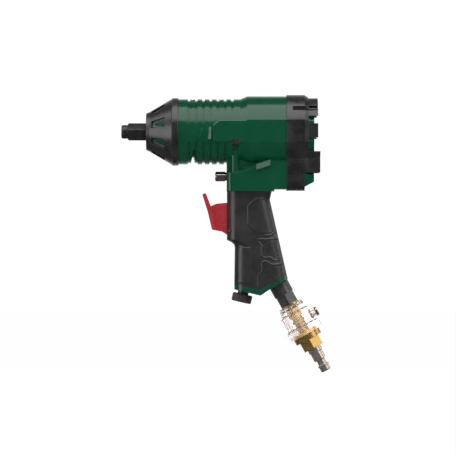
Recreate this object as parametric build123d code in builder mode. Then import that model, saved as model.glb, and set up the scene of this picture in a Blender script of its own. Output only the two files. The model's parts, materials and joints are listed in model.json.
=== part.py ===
from build123d import *
import os
from math import cos, radians, sin, sqrt, tan

os.makedirs("parts", exist_ok=True)

# Half-inch pneumatic impact wrench with an in-line oiler and an air plug, in millimetres.
# X runs along the drive line from the anvil tip to the rear, Z is up and Y is across the tool.
# The origin is the centre of the anvil's tip.

# Fits
running = 0.05  # radial clearance of a shaft, pin or spool in its bore
slip = 0.1  # clearance of a piece that is slid in by hand
play = 0.4  # end play between neighbours on the drive line

# Anvil
square_drive = 12.7
square_corner_radius = 8.3
square_turn = 32
pilot_radius = 6.4
pilot_length = 5.7
anvil_reach = 23.6
shank_radius = 9.5
collar_radius = 13.0
collar_thickness = 2.5
anvil_core_radius = 9.8
lobe_radius = 11.3
lobe_width = 8.0
journal_radius = 6.0
ring_groove_x = 2.3
ring_width = 2.0
ring_wall = 1.0
ring_gap = 2.4
seal_cord_radius = 0.6

# Hammer mechanism
bushing_length = 22.0
bushing_wall = 1.75
cage_radius = 24.0
cage_web = 3.0
cage_web_half_angle = 20
cage_front_plate = 4.5
cage_rear_plate = 9.0
dog_length = 13.5
dog_bore_radius = 13.0
dog_half_width = 17.0
dog_swing = 4
hammer_pin_radius = 2.5
hammer_pin_inset = 7.5
rotor_hex = 11.0
rotor_hex_depth = 5.0
cage_to_motor = 5.1

# Air motor
cylinder_length = 39.0
cylinder_bore_radius = 20.0
cylinder_offset = 2.0
end_plate = 9.0
bearing_width = 8.0
front_bearing_bore = 6.0
front_bearing_radius = 14.0
rear_bearing_bore = 5.0
rear_bearing_radius = 13.0
ball_radius = 2.3
ball_count = 8
vane_count = 6
vane_thickness = 3.0
vane_height = 7.8
dowel_radius = 1.5

# Housing
chamber_gap = 0.5
barrel_wall = 6.5
motor_bore_step = 1.5
motor_wall = 7.8
boss_radius = 14.0
boss_recess = 1.4
nose_face_radius = 17.5
nose_wall = 3.0
nose_length = 30.55
nose_proud = 1.1
pocket_turn = 27
pocket_depth = 2.2
step_offset = 14.6  # from the motor's front plate to the step up in the casing
step_length = 6.6
groove_pitch = 6.84
groove_width = 2.5
groove_depth = 1.4
first_groove = 10.15
panel_half_height = 10.35
panel_bevel = 4.7
panel_lead = 6.2
panel_chamfer = 0.9
bar_width = 3.2
bar_rise = 1.85  # of the bar's ramp over its width
bar_half_height = 5.7
block_half_width = 22.5
block_bottom = -56.6
block_corner = 6.0
outline_corner = 7.0
shelf_chamfer = 2.2
facet_drop = 5.6
facet_run = 2.2
block_rear_bottom = -54.7
plate_seat = 1.5

# Rear cap and bumper
gasket_thickness = 0.5
cap_depth = 15.5
cap_crown = 10.0
bumper_wall = 3.0
bumper_proud = 1.25
bumper_collar = 17.0
bumper_chamfer = 5.1
bumper_lobe_length = 9.6
lobe_inset = 2.5
lobe_step = 2.2
bumper_windows = [(10.8, 7), (-12.5, 12.8)]  # height of the middle, and height across
screw_radius = 2.0
screw_head_radius = 3.5
screw_head_height = 4.0
screw_length = 20.0
screw_socket = 3.0
washer_thickness = 0.8
screw_seat = 8.0
upper_screw = 20.5
lower_screw_y = 17.0
lower_screw_z = -37.0

# Reverse valve
reverse_z = -42.4
reverse_radius = 4.0
reverse_bushing_wall = 2.0
reverse_button_radius = 4.75
reverse_button_length = 9.5
reverse_travel = 8.0
reverse_stand_off = 1.45

# Handle
grip_wall = 3.0
grip_corner = 12.0
# Each station of the grip: depth under the casing, front edge and rear edge behind the
# handle's front, and half width
grip_stations = [
    (0, 0, 42.6, 18.2),
    (8, 0, 40.8, 17.6),
    (46, 0, 49.4, 18.6),
    (48.2, 4.3, 49.9, 18.7),
    (50.6, 6.9, 50.5, 18.7),
    (53, 7.5, 51.0, 18.8),
    (86.5, 7.0, 58.6, 19.5),
    (104, 7.0, 62.8, 19.8),
]
foot_front_z = -143.5
foot_keel_x = 31.8
foot_heel_x = 41.3
foot_heel_z = -144.5
foot_rim = 4.3
regulator_tilt = 13
inlet_tilt = 29

# Trigger and throttle
trigger_pivot_x = 3.3
trigger_pivot_z = -93.9
trigger_pin_radius = 1.25
trigger_pin_half_length = 13.3
trigger_half_width = 6.5
paddle_half_width = 8.5
trigger_recess = 0.7
slot_depth = 12.2
stem_height = 15.9  # of the throttle stem over the trigger's pivot
stem_radius = 2.0
stem_gap = 0.3
throttle_bore_radius = 6.0
throttle_bushing_length = 9.0
throttle_chamber_length = 13.5
duct_radius = 3.5
valve_radius = 5.0
valve_thickness = 3.0
spring_radius = 3.6
spring_wire = 0.45
spring_turns = 5

# Regulator
regulator_x = 15.8
regulator_radius = 4.5
regulator_length = 26.0
regulator_neck = 2.6
regulator_neck_radius = 5.2
knob_radius = 9.5
knob_height = 7.9
knob_teeth = 24
knob_tooth_radius = 0.75

# Exhaust
exhaust_x = 30.2
exhaust_length = 10.0
exhaust_width = 16.0
exhaust_depth = 12.0
screen_thickness = 1.5

# Inlet, oiler and air plug, measured along the inlet's own axis from the handle's heel
inlet_x = 49.05
inlet_thread_radius = 8.0
inlet_thread_depth = 12.0
inlet_bore_radius = 4.5
inlet_collar_radius = 9.5
inlet_collar_end = 11.2
inlet_hex = 17.0
inlet_hex_end = 21.6
oiler_thread_radius = 5.8
oiler_thread_length = 9.0
oiler_neck_radius = 6.7
oiler_bore_radius = 2.5
bowl_start = 22.6
bowl_wall = 2.0
bowl_neck_radius = 11.4
bowl_shoulder_end = 30.1
bowl_body_start = 31.6
bowl_body_end = 45.35
bowl_collar_start = 46.6
bowl_shoulder_radius = 13.3
bowl_radius = 14.5
bowl_collar_radius = 17.3
bowl_end = 53.9
oiler_head_radius = 7.0
oiler_head_end = 35.6
oiler_tube_radius = 5.2
oiler_flange_radius = 13.3
oiler_flange_end = 59.6
oiler_hex = 19.0
oiler_hex_end = 69.1
bowl_seal_radius = 0.8
wick_radius = 1.0
fill_station = 40.0
fill_boss_radius = 5.0
fill_boss_reach = 3.4
fill_screw_radius = 2.5
plug_thread_radius = 5.6
plug_thread_length = 8.0
plug_shoulder_radius = 6.65
plug_shoulder_end = 73.9
plug_collar_radius = 5.95
plug_collar_end = 82.4
plug_groove_radius = 4.1
plug_groove_end = 86.6
plug_ring_radius = 5.5
plug_ring_end = 89.1
plug_tip_radius = 4.9
plug_end = 93.8
plug_bore_radius = 3.6

# Stations along the drive line, each from the one before it
nose_x = anvil_reach
boss_x = nose_x + boss_recess
bushing_end_x = boss_x + bushing_length
chamber_x = bushing_end_x + 1
collar_x = chamber_x + play
cage_x = collar_x + collar_thickness + play
front_dog_x = cage_x + cage_front_plate + play
rear_dog_x = front_dog_x + dog_length + play
cage_rear_x = rear_dog_x + dog_length + play
cage_end_x = cage_rear_x + cage_rear_plate
motor_x = cage_end_x + cage_to_motor
cylinder_x = motor_x + end_plate
rear_plate_x = cylinder_x + cylinder_length
plates_end_x = rear_plate_x + end_plate
casing_end_x = plates_end_x + plate_seat
cap_x = casing_end_x + gasket_thickness
cap_end_x = cap_x + cap_depth + cap_crown
nose_end_x = nose_x + nose_length
step_x = motor_x + step_offset
block_x = motor_x + 1.75
handle_x = motor_x + 2

# Radii that follow from the mechanism inside
chamber_radius = cage_radius + chamber_gap
barrel_radius = chamber_radius + barrel_wall
motor_bore_radius = chamber_radius + motor_bore_step
motor_radius = motor_bore_radius + motor_wall
nose_radius = barrel_radius + nose_proud
nose_seat_radius = nose_radius - nose_wall
bushing_radius = shank_radius + bushing_wall
hammer_pin_z = cage_radius - hammer_pin_inset
cylinder_radius = motor_bore_radius - slip
rotor_radius = cylinder_bore_radius - cylinder_offset - slip
panel_y = sqrt(motor_radius**2 - panel_half_height**2)
cap_grow = bumper_proud - bumper_wall  # of the rear cap's outline over the casing's
reverse_bushing_radius = reverse_radius + reverse_bushing_wall

# Ends of the oiler's and the plug's threads, along the inlet's axis
oiler_start = inlet_hex_end - oiler_thread_length
plug_start = oiler_hex_end - plug_thread_length

# Planes whose normals are the axes that pieces turn or slide on
drive = Plane.YZ
from_plane = (Align.CENTER, Align.CENTER, Align.MIN)


def x_plane(x, y=0, z=0):
    """Give the plane across the drive line at a point, its normal towards the rear."""
    return Plane(origin=(x, y, z), x_dir=(0, 1, 0), z_dir=(1, 0, 0))


def foot_point(x, drop=0):
    """Give the point of the handle's lower edge at a place behind the handle's front."""
    if x <= foot_keel_x:
        z = foot_front_z - x * tan(radians(regulator_tilt))
    elif x < foot_heel_x:
        keel_z = foot_front_z - foot_keel_x * tan(radians(regulator_tilt))
        share = (x - foot_keel_x) / (foot_heel_x - foot_keel_x)
        z = keel_z + share * (foot_heel_z - keel_z)
    else:
        z = foot_heel_z + (x - foot_heel_x) * tan(radians(inlet_tilt))
    return (handle_x + x, z - drop)


def foot_plane(x, tilt):
    """Give the plane on the handle's foot at a place, its normal pointing out of the foot."""
    foot_x, foot_z = foot_point(x, foot_rim)
    return Plane(
        origin=(foot_x, 0, foot_z),
        x_dir=(0, 1, 0),
        z_dir=(sin(radians(tilt)), 0, -cos(radians(tilt))),
    )


regulator = foot_plane(regulator_x, -regulator_tilt)
inlet = foot_plane(inlet_x, inlet_tilt)


def rod(plane, radius, length, mode=Mode.ADD):
    """Add or cut a round bar from a plane, along its normal or, with a length under 0, against it."""
    with Locations(plane.offset(min(length, 0))):
        Cylinder(radius, abs(length), align=from_plane, mode=mode)


def prism(plane, across_flats, length, mode=Mode.ADD):
    """Add or cut a hexagonal bar that starts on a plane and runs along its normal."""
    with BuildSketch(plane) as section:
        RegularPolygon(across_flats / 2, 6, major_radius=False)
    extrude(section.sketch, amount=length, mode=mode)


def turned(plane, profile, mode=Mode.ADD):
    """Revolve a closed line of (radius, height) points about a plane's normal."""
    half = Plane(origin=plane.origin, x_dir=plane.x_dir, z_dir=-plane.y_dir)
    with BuildSketch(half) as section:
        with BuildLine():
            Polyline(*profile, close=True)
        make_face()
    revolve(section.sketch, axis=Axis(plane.origin, plane.z_dir), mode=mode)


def seal_ring(plane, height, root_radius, cord_radius, mode=Mode.ADD):
    """Add an O-ring that lies round a shaft, at a height over a plane."""
    with Locations(plane.offset(height)):
        Torus(root_radius + cord_radius, cord_radius, mode=mode)


def seal_groove(plane, height, radius, cord_radius):
    """Cut the square groove that an O-ring sits in, round a shaft of a given radius."""
    turned(plane, [
        (radius - 2 * cord_radius, height - 1.1 * cord_radius), (radius + 1, height - 1.1 * cord_radius),
        (radius + 1, height + 1.1 * cord_radius), (radius - 2 * cord_radius, height + 1.1 * cord_radius),
    ], mode=Mode.SUBTRACT)


# ---------------------------------------------------------------- anvil and its ring

ring_root_radius = pilot_radius - ring_wall - 2 * seal_cord_radius
square_end_x = nose_x + 0.6

with BuildPart() as anvil:
    turned(drive, [
        (0, 0), (pilot_radius - 0.8, 0), (pilot_radius, 0.8), (pilot_radius, ring_groove_x),
        (ring_root_radius, ring_groove_x), (ring_root_radius, ring_groove_x + ring_width + slip),
        (pilot_radius, ring_groove_x + ring_width + slip), (pilot_radius, pilot_length),
        (0, pilot_length),
    ])
    with BuildSketch(drive.offset(pilot_length)):
        Rectangle(square_drive, square_drive, rotation=square_turn)
        Circle(square_corner_radius, mode=Mode.INTERSECT)
    extrude(amount=square_end_x - pilot_length)
    turned(drive, [
        (pilot_radius, pilot_length), (pilot_radius + 4, pilot_length),
        (pilot_radius + 4, pilot_length + 2.6),
    ], mode=Mode.SUBTRACT)
    turned(drive, [
        (0, square_end_x), (shank_radius - 0.7, square_end_x),
        (shank_radius, square_end_x + 0.7), (shank_radius, collar_x),
        (collar_radius, collar_x), (collar_radius, collar_x + collar_thickness),
        (anvil_core_radius, collar_x + collar_thickness), (anvil_core_radius, cage_rear_x - play),
        (journal_radius, cage_rear_x - play), (journal_radius, cage_rear_x + 3),
        (0, cage_rear_x + 3),
    ])
    for lobe_x, side in ((front_dog_x, 1), (rear_dog_x, -1)):
        with BuildSketch(drive.offset(lobe_x + 1)):
            Circle(lobe_radius)
            with Locations((side * lobe_radius, 0)):
                Rectangle(lobe_radius, lobe_width, mode=Mode.INTERSECT)
        extrude(amount=dog_length - 2)

with BuildPart() as anvil_ring_seal:
    seal_ring(drive, ring_groove_x + ring_width / 2, ring_root_radius, seal_cord_radius)

with BuildPart() as anvil_retaining_ring:
    with BuildSketch(drive.offset(ring_groove_x + slip / 2)):
        Circle(pilot_radius + 0.15)
        Circle(pilot_radius - ring_wall, mode=Mode.SUBTRACT)
        with Locations((-pilot_radius, 0)):
            Rectangle(2 * ring_wall + 1, ring_gap, mode=Mode.SUBTRACT)
    extrude(amount=ring_width)

# ---------------------------------------------------------------- hammer mechanism

with BuildPart() as anvil_bushing:
    rod(x_plane(boss_x), bushing_radius, bushing_length)
    rod(x_plane(boss_x), shank_radius + running, bushing_length, Mode.SUBTRACT)
    seal_ring(drive, boss_x + bushing_length / 2, shank_radius - 0.5, 0.6, Mode.SUBTRACT)

with BuildPart() as hammer_cage:
    rod(x_plane(cage_x), cage_radius, cage_end_x - cage_x)
    rod(x_plane(cage_x), lobe_radius + 0.5, cage_front_plate, Mode.SUBTRACT)
    rod(x_plane(cage_x + cage_front_plate), cage_radius - cage_web, cage_rear_x - cage_x - cage_front_plate,
        Mode.SUBTRACT)
    with BuildSketch(drive.offset(cage_x + cage_front_plate)):
        Rectangle(3 * cage_radius, 3 * cage_radius)
        Rectangle(3 * cage_radius, 2 * cage_radius * sin(radians(cage_web_half_angle)), mode=Mode.SUBTRACT)
    extrude(amount=cage_rear_x - cage_x - cage_front_plate, mode=Mode.SUBTRACT)
    rod(x_plane(cage_rear_x), journal_radius + running, 4, Mode.SUBTRACT)
    prism(x_plane(cage_end_x - rotor_hex_depth), rotor_hex + 2 * running, rotor_hex_depth, Mode.SUBTRACT)
    for pin_z in (hammer_pin_z, -hammer_pin_z):
        rod(x_plane(cage_x, 0, pin_z), hammer_pin_radius, cage_rear_x + 5 - cage_x, Mode.SUBTRACT)

with BuildPart() as hammer_pins:
    for pin_z in (hammer_pin_z, -hammer_pin_z):
        rod(x_plane(cage_x + 0.5, 0, pin_z), hammer_pin_radius, cage_rear_x + 4.5 - cage_x)


def hammer_dog(x, side):
    """Make one hammer dog: a C-shaped striker that rocks on the pin at one side of the cage."""
    notch_half_width = hammer_pin_radius + 2 * hammer_pin_z * sin(radians(dog_swing)) + play
    with BuildPart() as dog:
        with BuildSketch(drive.offset(x)):
            Circle(cage_radius - 2.5)
            Rectangle(2 * dog_half_width, 3 * cage_radius, mode=Mode.INTERSECT)
            Circle(dog_bore_radius, mode=Mode.SUBTRACT)
            with Locations((0, side * dog_bore_radius)):
                Rectangle(5, 3.2)
            with Locations((0, side * hammer_pin_z)):
                Circle(hammer_pin_radius + running, mode=Mode.SUBTRACT)
            with Locations((0, -side * hammer_pin_z)):
                Rectangle(2 * notch_half_width, 12, mode=Mode.SUBTRACT)
        extrude(amount=dog_length)
    return dog


front_hammer_dog = hammer_dog(front_dog_x, 1)
rear_hammer_dog = hammer_dog(rear_dog_x, -1)

# ---------------------------------------------------------------- air motor

rotor_x = cylinder_x + play
rotor_end_x = rear_plate_x - play
front_bearing_x = motor_x + slip
rear_bearing_x = plates_end_x - bearing_width - slip

with BuildPart() as rotor:
    prism(x_plane(cage_end_x - rotor_hex_depth + play), rotor_hex, rotor_hex_depth)
    turned(drive, [
        (0, cage_end_x), (front_bearing_bore + 1.2, cage_end_x + play),
        (front_bearing_bore + 1.2, front_bearing_x), (front_bearing_bore, front_bearing_x),
        (front_bearing_bore, rotor_x), (rotor_radius, rotor_x), (rotor_radius, rotor_end_x),
        (rear_bearing_bore, rotor_end_x), (rear_bearing_bore, plates_end_x), (0, plates_end_x),
    ])
    with BuildSketch(drive.offset(rotor_x)):
        with PolarLocations(rotor_radius - vane_height / 2, vane_count):
            Rectangle(vane_height + 0.4, vane_thickness)
    extrude(amount=rotor_end_x - rotor_x, mode=Mode.SUBTRACT)

with BuildPart() as rotor_vanes:
    with BuildSketch(drive.offset(rotor_x + slip)):
        with PolarLocations(rotor_radius - vane_height / 2 - running, vane_count):
            Rectangle(vane_height, vane_thickness - 2 * running)
    extrude(amount=rotor_end_x - rotor_x - 2 * slip)

with BuildPart() as cylinder:
    rod(x_plane(cylinder_x), cylinder_radius, cylinder_length)
    rod(x_plane(cylinder_x, 0, -cylinder_offset), cylinder_bore_radius, cylinder_length, Mode.SUBTRACT)
    dowel_z = (cylinder_radius + cylinder_bore_radius - cylinder_offset) / 2
    rod(x_plane(cylinder_x, 0, dowel_z), dowel_radius, cylinder_length, Mode.SUBTRACT)
    with Locations(*[(cylinder_x + cylinder_length * share, 0, 0) for share in (0.25, 0.5, 0.75)]):
        Cylinder(2.5, 3 * cylinder_radius, rotation=(60, 0, 0), mode=Mode.SUBTRACT)

with BuildPart() as cylinder_dowel:
    rod(x_plane(cylinder_x - 4, 0, dowel_z), dowel_radius, cylinder_length + 8)

with BuildPart() as front_end_plate:
    rod(x_plane(motor_x), cylinder_radius, end_plate)
    rod(x_plane(motor_x), front_bearing_radius, bearing_width + slip, Mode.SUBTRACT)
    rod(x_plane(motor_x), front_bearing_bore + 1, end_plate, Mode.SUBTRACT)
    rod(x_plane(cylinder_x - 4, 0, dowel_z), dowel_radius, 4, Mode.SUBTRACT)

with BuildPart() as rear_end_plate:
    rod(x_plane(rear_plate_x), cylinder_radius, end_plate)
    rod(x_plane(rear_bearing_x), rear_bearing_radius, bearing_width + slip, Mode.SUBTRACT)
    rod(x_plane(rear_plate_x), rear_bearing_bore + 1, end_plate, Mode.SUBTRACT)
    rod(x_plane(rear_plate_x, 0, dowel_z), dowel_radius, 4, Mode.SUBTRACT)


def bearing(x, bore_radius, outer_radius):
    """Make a ball bearing on the drive line: its outer ring, its inner ring and its balls."""
    pitch_radius = (bore_radius + outer_radius) / 2
    middle = x + bearing_width / 2
    race_depth = 0.6 * ball_radius
    with BuildPart() as outer_ring:
        rod(x_plane(x), outer_radius, bearing_width)
        rod(x_plane(x), pitch_radius + race_depth, bearing_width, Mode.SUBTRACT)
        seal_ring(drive, middle, pitch_radius - ball_radius - running, ball_radius + running, Mode.SUBTRACT)
    with BuildPart() as inner_ring:
        rod(x_plane(x), pitch_radius - race_depth, bearing_width)
        rod(x_plane(x), bore_radius, bearing_width, Mode.SUBTRACT)
        seal_ring(drive, middle, pitch_radius - ball_radius - running, ball_radius + running, Mode.SUBTRACT)
    with BuildPart() as balls:
        with Locations(x_plane(middle)):
            with PolarLocations(pitch_radius, ball_count):
                Sphere(ball_radius)
    return outer_ring, inner_ring, balls


front_bearing_outer_ring, front_bearing_inner_ring, front_bearing_balls = bearing(
    front_bearing_x, front_bearing_bore, front_bearing_radius)
rear_bearing_outer_ring, rear_bearing_inner_ring, rear_bearing_balls = bearing(
    rear_bearing_x, rear_bearing_bore, rear_bearing_radius)

# ---------------------------------------------------------------- casing outline


def rear_outline(grow):
    """Draw the casing's rear outline, a round top on a narrower block, moved outwards by grow."""
    with BuildSketch() as outline:
        Circle(motor_radius + grow)
        with Locations((0, (block_rear_bottom - grow) / 2)):
            RectangleRounded(2 * (block_half_width + grow), -block_rear_bottom + grow, outline_corner + grow)
        with Locations((panel_y + grow + 10, 0), (-panel_y - grow - 10, 0)):
            Rectangle(20, 4 * motor_radius, mode=Mode.SUBTRACT)
    return outline.sketch


def outline_slab(x, length, grow, taper=0, mode=Mode.ADD):
    """Add or cut a slab with the casing's rear outline, from one station for a length."""
    extrude(x_plane(x) * rear_outline(grow), amount=length, taper=taper, mode=mode)


def screw_places():
    """Give the four places of the rear cap's screws, across and up."""
    return [(side * y, z) for side in (1, -1)
            for y, z in ((upper_screw, upper_screw), (lower_screw_y, lower_screw_z))]


# ---------------------------------------------------------------- handle form


def grip_form(inset):
    """Make the handle's solid form, moved inwards by inset, running past its foot."""
    sections = []
    for depth, front, rear, half_width in grip_stations:
        middle = handle_x + (front + rear) / 2
        with BuildSketch(Plane.XY.offset(block_bottom - depth)) as section:
            with Locations((middle, 0)):
                RectangleRounded(rear - front - 2 * inset, 2 * (half_width - inset), grip_corner - inset)
        sections.append(section.sketch)
    with BuildPart() as form:
        loft(sections, ruled=True)
    return form.part


def foot_cut(drop):
    """Keep only what lies over the foot's lower edge, moved down by drop."""
    corners = [foot_point(x, drop) for x in (-5, foot_keel_x, foot_heel_x, 80)]
    with BuildSketch(Plane.XZ) as above_foot:
        with BuildLine():
            Polyline(*corners, (handle_x + 80, 0), (handle_x - 5, 0), close=True)
        make_face()
    extrude(above_foot.sketch, amount=60, both=True, mode=Mode.INTERSECT)


def trigger_slot(reach):
    """Cut the slot that the trigger swings in, as far up and down as the trigger reaches."""
    with Locations((handle_x + slot_depth / 2 - 5, 0, trigger_pivot_z + 11.5)):
        Box(slot_depth + 10, 2 * (trigger_half_width + reach), 33.6, mode=Mode.SUBTRACT)


trigger_pivot = Plane(
    origin=(handle_x + trigger_pivot_x, 0, trigger_pivot_z), x_dir=(1, 0, 0), z_dir=(0, -1, 0)
)
stem_z = trigger_pivot_z + stem_height
slot_back_x = handle_x + slot_depth
throttle = x_plane(slot_back_x, 0, stem_z)

with BuildPart() as handle_core:
    add(grip_form(grip_wall))
    foot_cut(0)

with BuildPart() as handle_foot:
    add(grip_form(0))
    foot_cut(foot_rim)

with BuildPart() as grip_sleeve:
    add(grip_form(0))
    foot_cut(0)
    add(grip_form(grip_wall), mode=Mode.SUBTRACT)
    trigger_slot(0.5)
    rod(trigger_pivot.offset(-30), trigger_pin_radius, 60, Mode.SUBTRACT)

# ---------------------------------------------------------------- main casing

groove_stations = [nose_end_x + first_groove + k * groove_pitch for k in range(7)]
groove_lows = [7.5, 7.5, 7.5, 13.2, 18.9, 18.9, 18.9]
panel_x = groove_stations[3] + 2.1
bar_x = panel_x - 4.6

with BuildPart() as barrel_grooves:
    with BuildSketch(Plane.XZ) as groove_sides:
        for x, low in zip(groove_stations, groove_lows):
            with Locations((x, low + 30)):
                Rectangle(groove_width, 60 - groove_width)
            with Locations((x, low + groove_width / 2)):
                Circle(groove_width / 2)
        for x in groove_stations[:-1]:
            with Locations((x, -panel_half_height - 30)):
                Rectangle(groove_width, 60 - groove_width)
            with Locations((x, -panel_half_height - groove_width / 2)):
                Circle(groove_width / 2)
    extrude(amount=2 * barrel_radius, both=True)
    rod(x_plane(0), barrel_radius - groove_depth, casing_end_x, Mode.SUBTRACT)

with BuildPart() as motor_block:
    # Block under the motor, with a shelf that rises towards the rear
    shelf = [(0, -39), (5.25, -39), (28, -30), (41.3, -25.7)]
    with BuildSketch(Plane.XZ):
        with BuildLine():
            Polyline(
                *[(block_x + x, z) for x, z in shelf], (casing_end_x, shelf[-1][1]),
                (casing_end_x, block_rear_bottom), (block_x + 45.1, block_rear_bottom),
                (block_x + 45.1, block_bottom), (block_x, block_bottom), close=True,
            )
        make_face()
    extrude(amount=block_half_width, both=True)
    shelf_edges = edges().filter_by(
        lambda edge: edge.center().Z > shelf[0][1] + 0.5 and edge.center().X < casing_end_x - 1
        and abs(edge.center().Y) > block_half_width - 1)
    chamfer(shelf_edges, shelf_chamfer)
    fillet(edges().filter_by(Axis.Z).group_by(Axis.X)[0], block_corner)

with BuildPart() as side_panels:
    with BuildSketch(Plane.XZ):
        with BuildLine():
            Polyline(
                (panel_x, -panel_half_height), (panel_x, panel_half_height - panel_bevel),
                (panel_x + panel_lead, panel_half_height), (casing_end_x, panel_half_height),
                (casing_end_x, -panel_half_height), close=True,
            )
        make_face()
    extrude(amount=panel_y, both=True)
    for side in (-1, 0):
        rim = faces().sort_by(Axis.Y)[side].edges()
        chamfer(rim.filter_by(lambda edge: edge.center().X < casing_end_x - 1), panel_chamfer)

with BuildPart() as motor_housing:
    # Turned barrel, from the boss round the anvil to the step up to the motor
    cone_front_radius = boss_radius + 2
    turned(drive, [
        (0, boss_x), (boss_radius, boss_x), (boss_radius, nose_x + nose_wall),
        (cone_front_radius, nose_x + nose_wall), (nose_seat_radius - 0.5, chamber_x - 0.8),
        (nose_seat_radius, chamber_x), (nose_seat_radius, nose_end_x), (barrel_radius, nose_end_x),
        (barrel_radius, step_x), (motor_radius, step_x + step_length), (motor_radius, casing_end_x),
        (0, casing_end_x),
    ])
    # Flats on both sides of the motor section
    with Locations((casing_end_x, panel_y + 20, 0), (casing_end_x, -panel_y - 20, 0)):
        Box(4 * motor_radius, 40, 4 * motor_radius, mode=Mode.SUBTRACT)
    # Raised side panels, level with the flats
    add(side_panels.part)
    # Ramped bar and curved rib ahead of each panel
    with BuildSketch(Plane.XY.offset(-bar_half_height - 2)):
        with BuildLine():
            Polyline(
                (bar_x, barrel_radius - 3), (bar_x, barrel_radius - 0.5),
                (bar_x + bar_width, barrel_radius - 0.5 + bar_rise), (bar_x + bar_width, barrel_radius - 3),
                close=True,
            )
        make_face()
        mirror(about=Plane.XZ)
    extrude(amount=2 * bar_half_height)
    with BuildSketch(Plane.XZ):
        with BuildLine():
            ThreePointArc((panel_x - 14.4, -7.7), (panel_x - 10.8, -3.8), (panel_x - 9.6, 1.8))
            Line((panel_x - 9.6, 1.8), (panel_x - 11, 1.8))
            ThreePointArc((panel_x - 11, 1.8), (panel_x - 12.2, -3.2), (panel_x - 14.4, -7.7))
        make_face()
    extrude(amount=barrel_radius + 0.9, both=True)
    add(barrel_grooves.part, mode=Mode.SUBTRACT)
    add(motor_block.part)
    # Neck between the barrel and the shelf
    with BuildSketch(Plane.XZ):
        with BuildLine():
            Polyline(
                (block_x, 0), (block_x, -45), (casing_end_x, -45), (casing_end_x, 0), close=True
            )
        make_face()
    extrude(amount=block_half_width - 6, both=True)
    # Steep facet where the shelf rises to the rear
    for side in (1, -1):
        facet_ends = []
        for x, z in (shelf[2], shelf[3]):
            with BuildSketch(x_plane(block_x + x)) as facet_end:
                with BuildLine():
                    Polyline(
                        (side * 20, z - 1), (side * (block_half_width + 0.7), z - 1),
                        (side * (block_half_width + 0.7 + facet_run), z - 1 - facet_drop),
                        (side * 20, z - 1 - facet_drop - facet_run), close=True,
                    )
                make_face()
            facet_ends.append(facet_end.sketch)
        loft(facet_ends, ruled=True)
    # Handle core and the foot that shows under the grip
    add(handle_core.part)
    add(handle_foot.part)
    add(grip_sleeve.part, mode=Mode.SUBTRACT)
    # Post and pocket under the barrel on both sides
    for side in (1, -1):
        rod(Plane.XY.offset(-40).move(Location((block_x + 8, side * (block_half_width - 4.5), 0))), 3.8, 20)
        with Locations((block_x + 8.4, side * (barrel_radius - 2), -13.5)):
            Box(6.2, 12, 11, mode=Mode.SUBTRACT)
    # Shaft and motor bores
    rod(x_plane(boss_x), bushing_radius, bushing_length, Mode.SUBTRACT)
    rod(x_plane(bushing_end_x), shank_radius + 1, 2, Mode.SUBTRACT)
    rod(x_plane(chamber_x), chamber_radius, motor_x - chamber_x, Mode.SUBTRACT)
    rod(x_plane(motor_x), motor_bore_radius, casing_end_x - motor_x, Mode.SUBTRACT)
    # Reverse valve bore, with room for the button at the front
    rod(x_plane(block_x, 0, reverse_z), reverse_bushing_radius, casing_end_x - block_x, Mode.SUBTRACT)
    # Trigger slot, throttle bore and the duct up to the reverse valve and the motor
    trigger_slot(0.5)
    rod(throttle, throttle_bore_radius, throttle_bushing_length + throttle_chamber_length, Mode.SUBTRACT)
    duct_x = slot_back_x + throttle_bushing_length + 5
    rod(Plane.XY.offset(stem_z).move(Location((duct_x, 0, 0))), duct_radius, -stem_z - motor_bore_radius + 4,
        Mode.SUBTRACT)
    rod(trigger_pivot.offset(-30), trigger_pin_radius, 60, Mode.SUBTRACT)
    # Inlet bore and the duct from it to the throttle
    rod(inlet, inlet_thread_radius, -inlet_thread_depth, Mode.SUBTRACT)
    rod(inlet, inlet_bore_radius, -26, Mode.SUBTRACT)
    duct_start = inlet.offset(-24).origin
    duct_end = Vector(duct_x, 0, stem_z)
    supply = Plane(origin=duct_start, z_dir=duct_end - duct_start)
    rod(supply, duct_radius, (duct_end - duct_start).length, Mode.SUBTRACT)
    # Regulator bore and the exhaust pocket in the foot
    rod(regulator, regulator_radius + running, -regulator_length, Mode.SUBTRACT)
    with Locations((handle_x + exhaust_x, 0, foot_point(exhaust_x, foot_rim)[1] + exhaust_depth)):
        Box(exhaust_length, exhaust_width, 2 * exhaust_depth, mode=Mode.SUBTRACT,
            align=(Align.CENTER, Align.CENTER, Align.MAX))
    # Screw holes for the rear cap
    for y, z in screw_places():
        rod(x_plane(casing_end_x - screw_length, y, z), screw_radius, screw_length, Mode.SUBTRACT)

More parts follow.
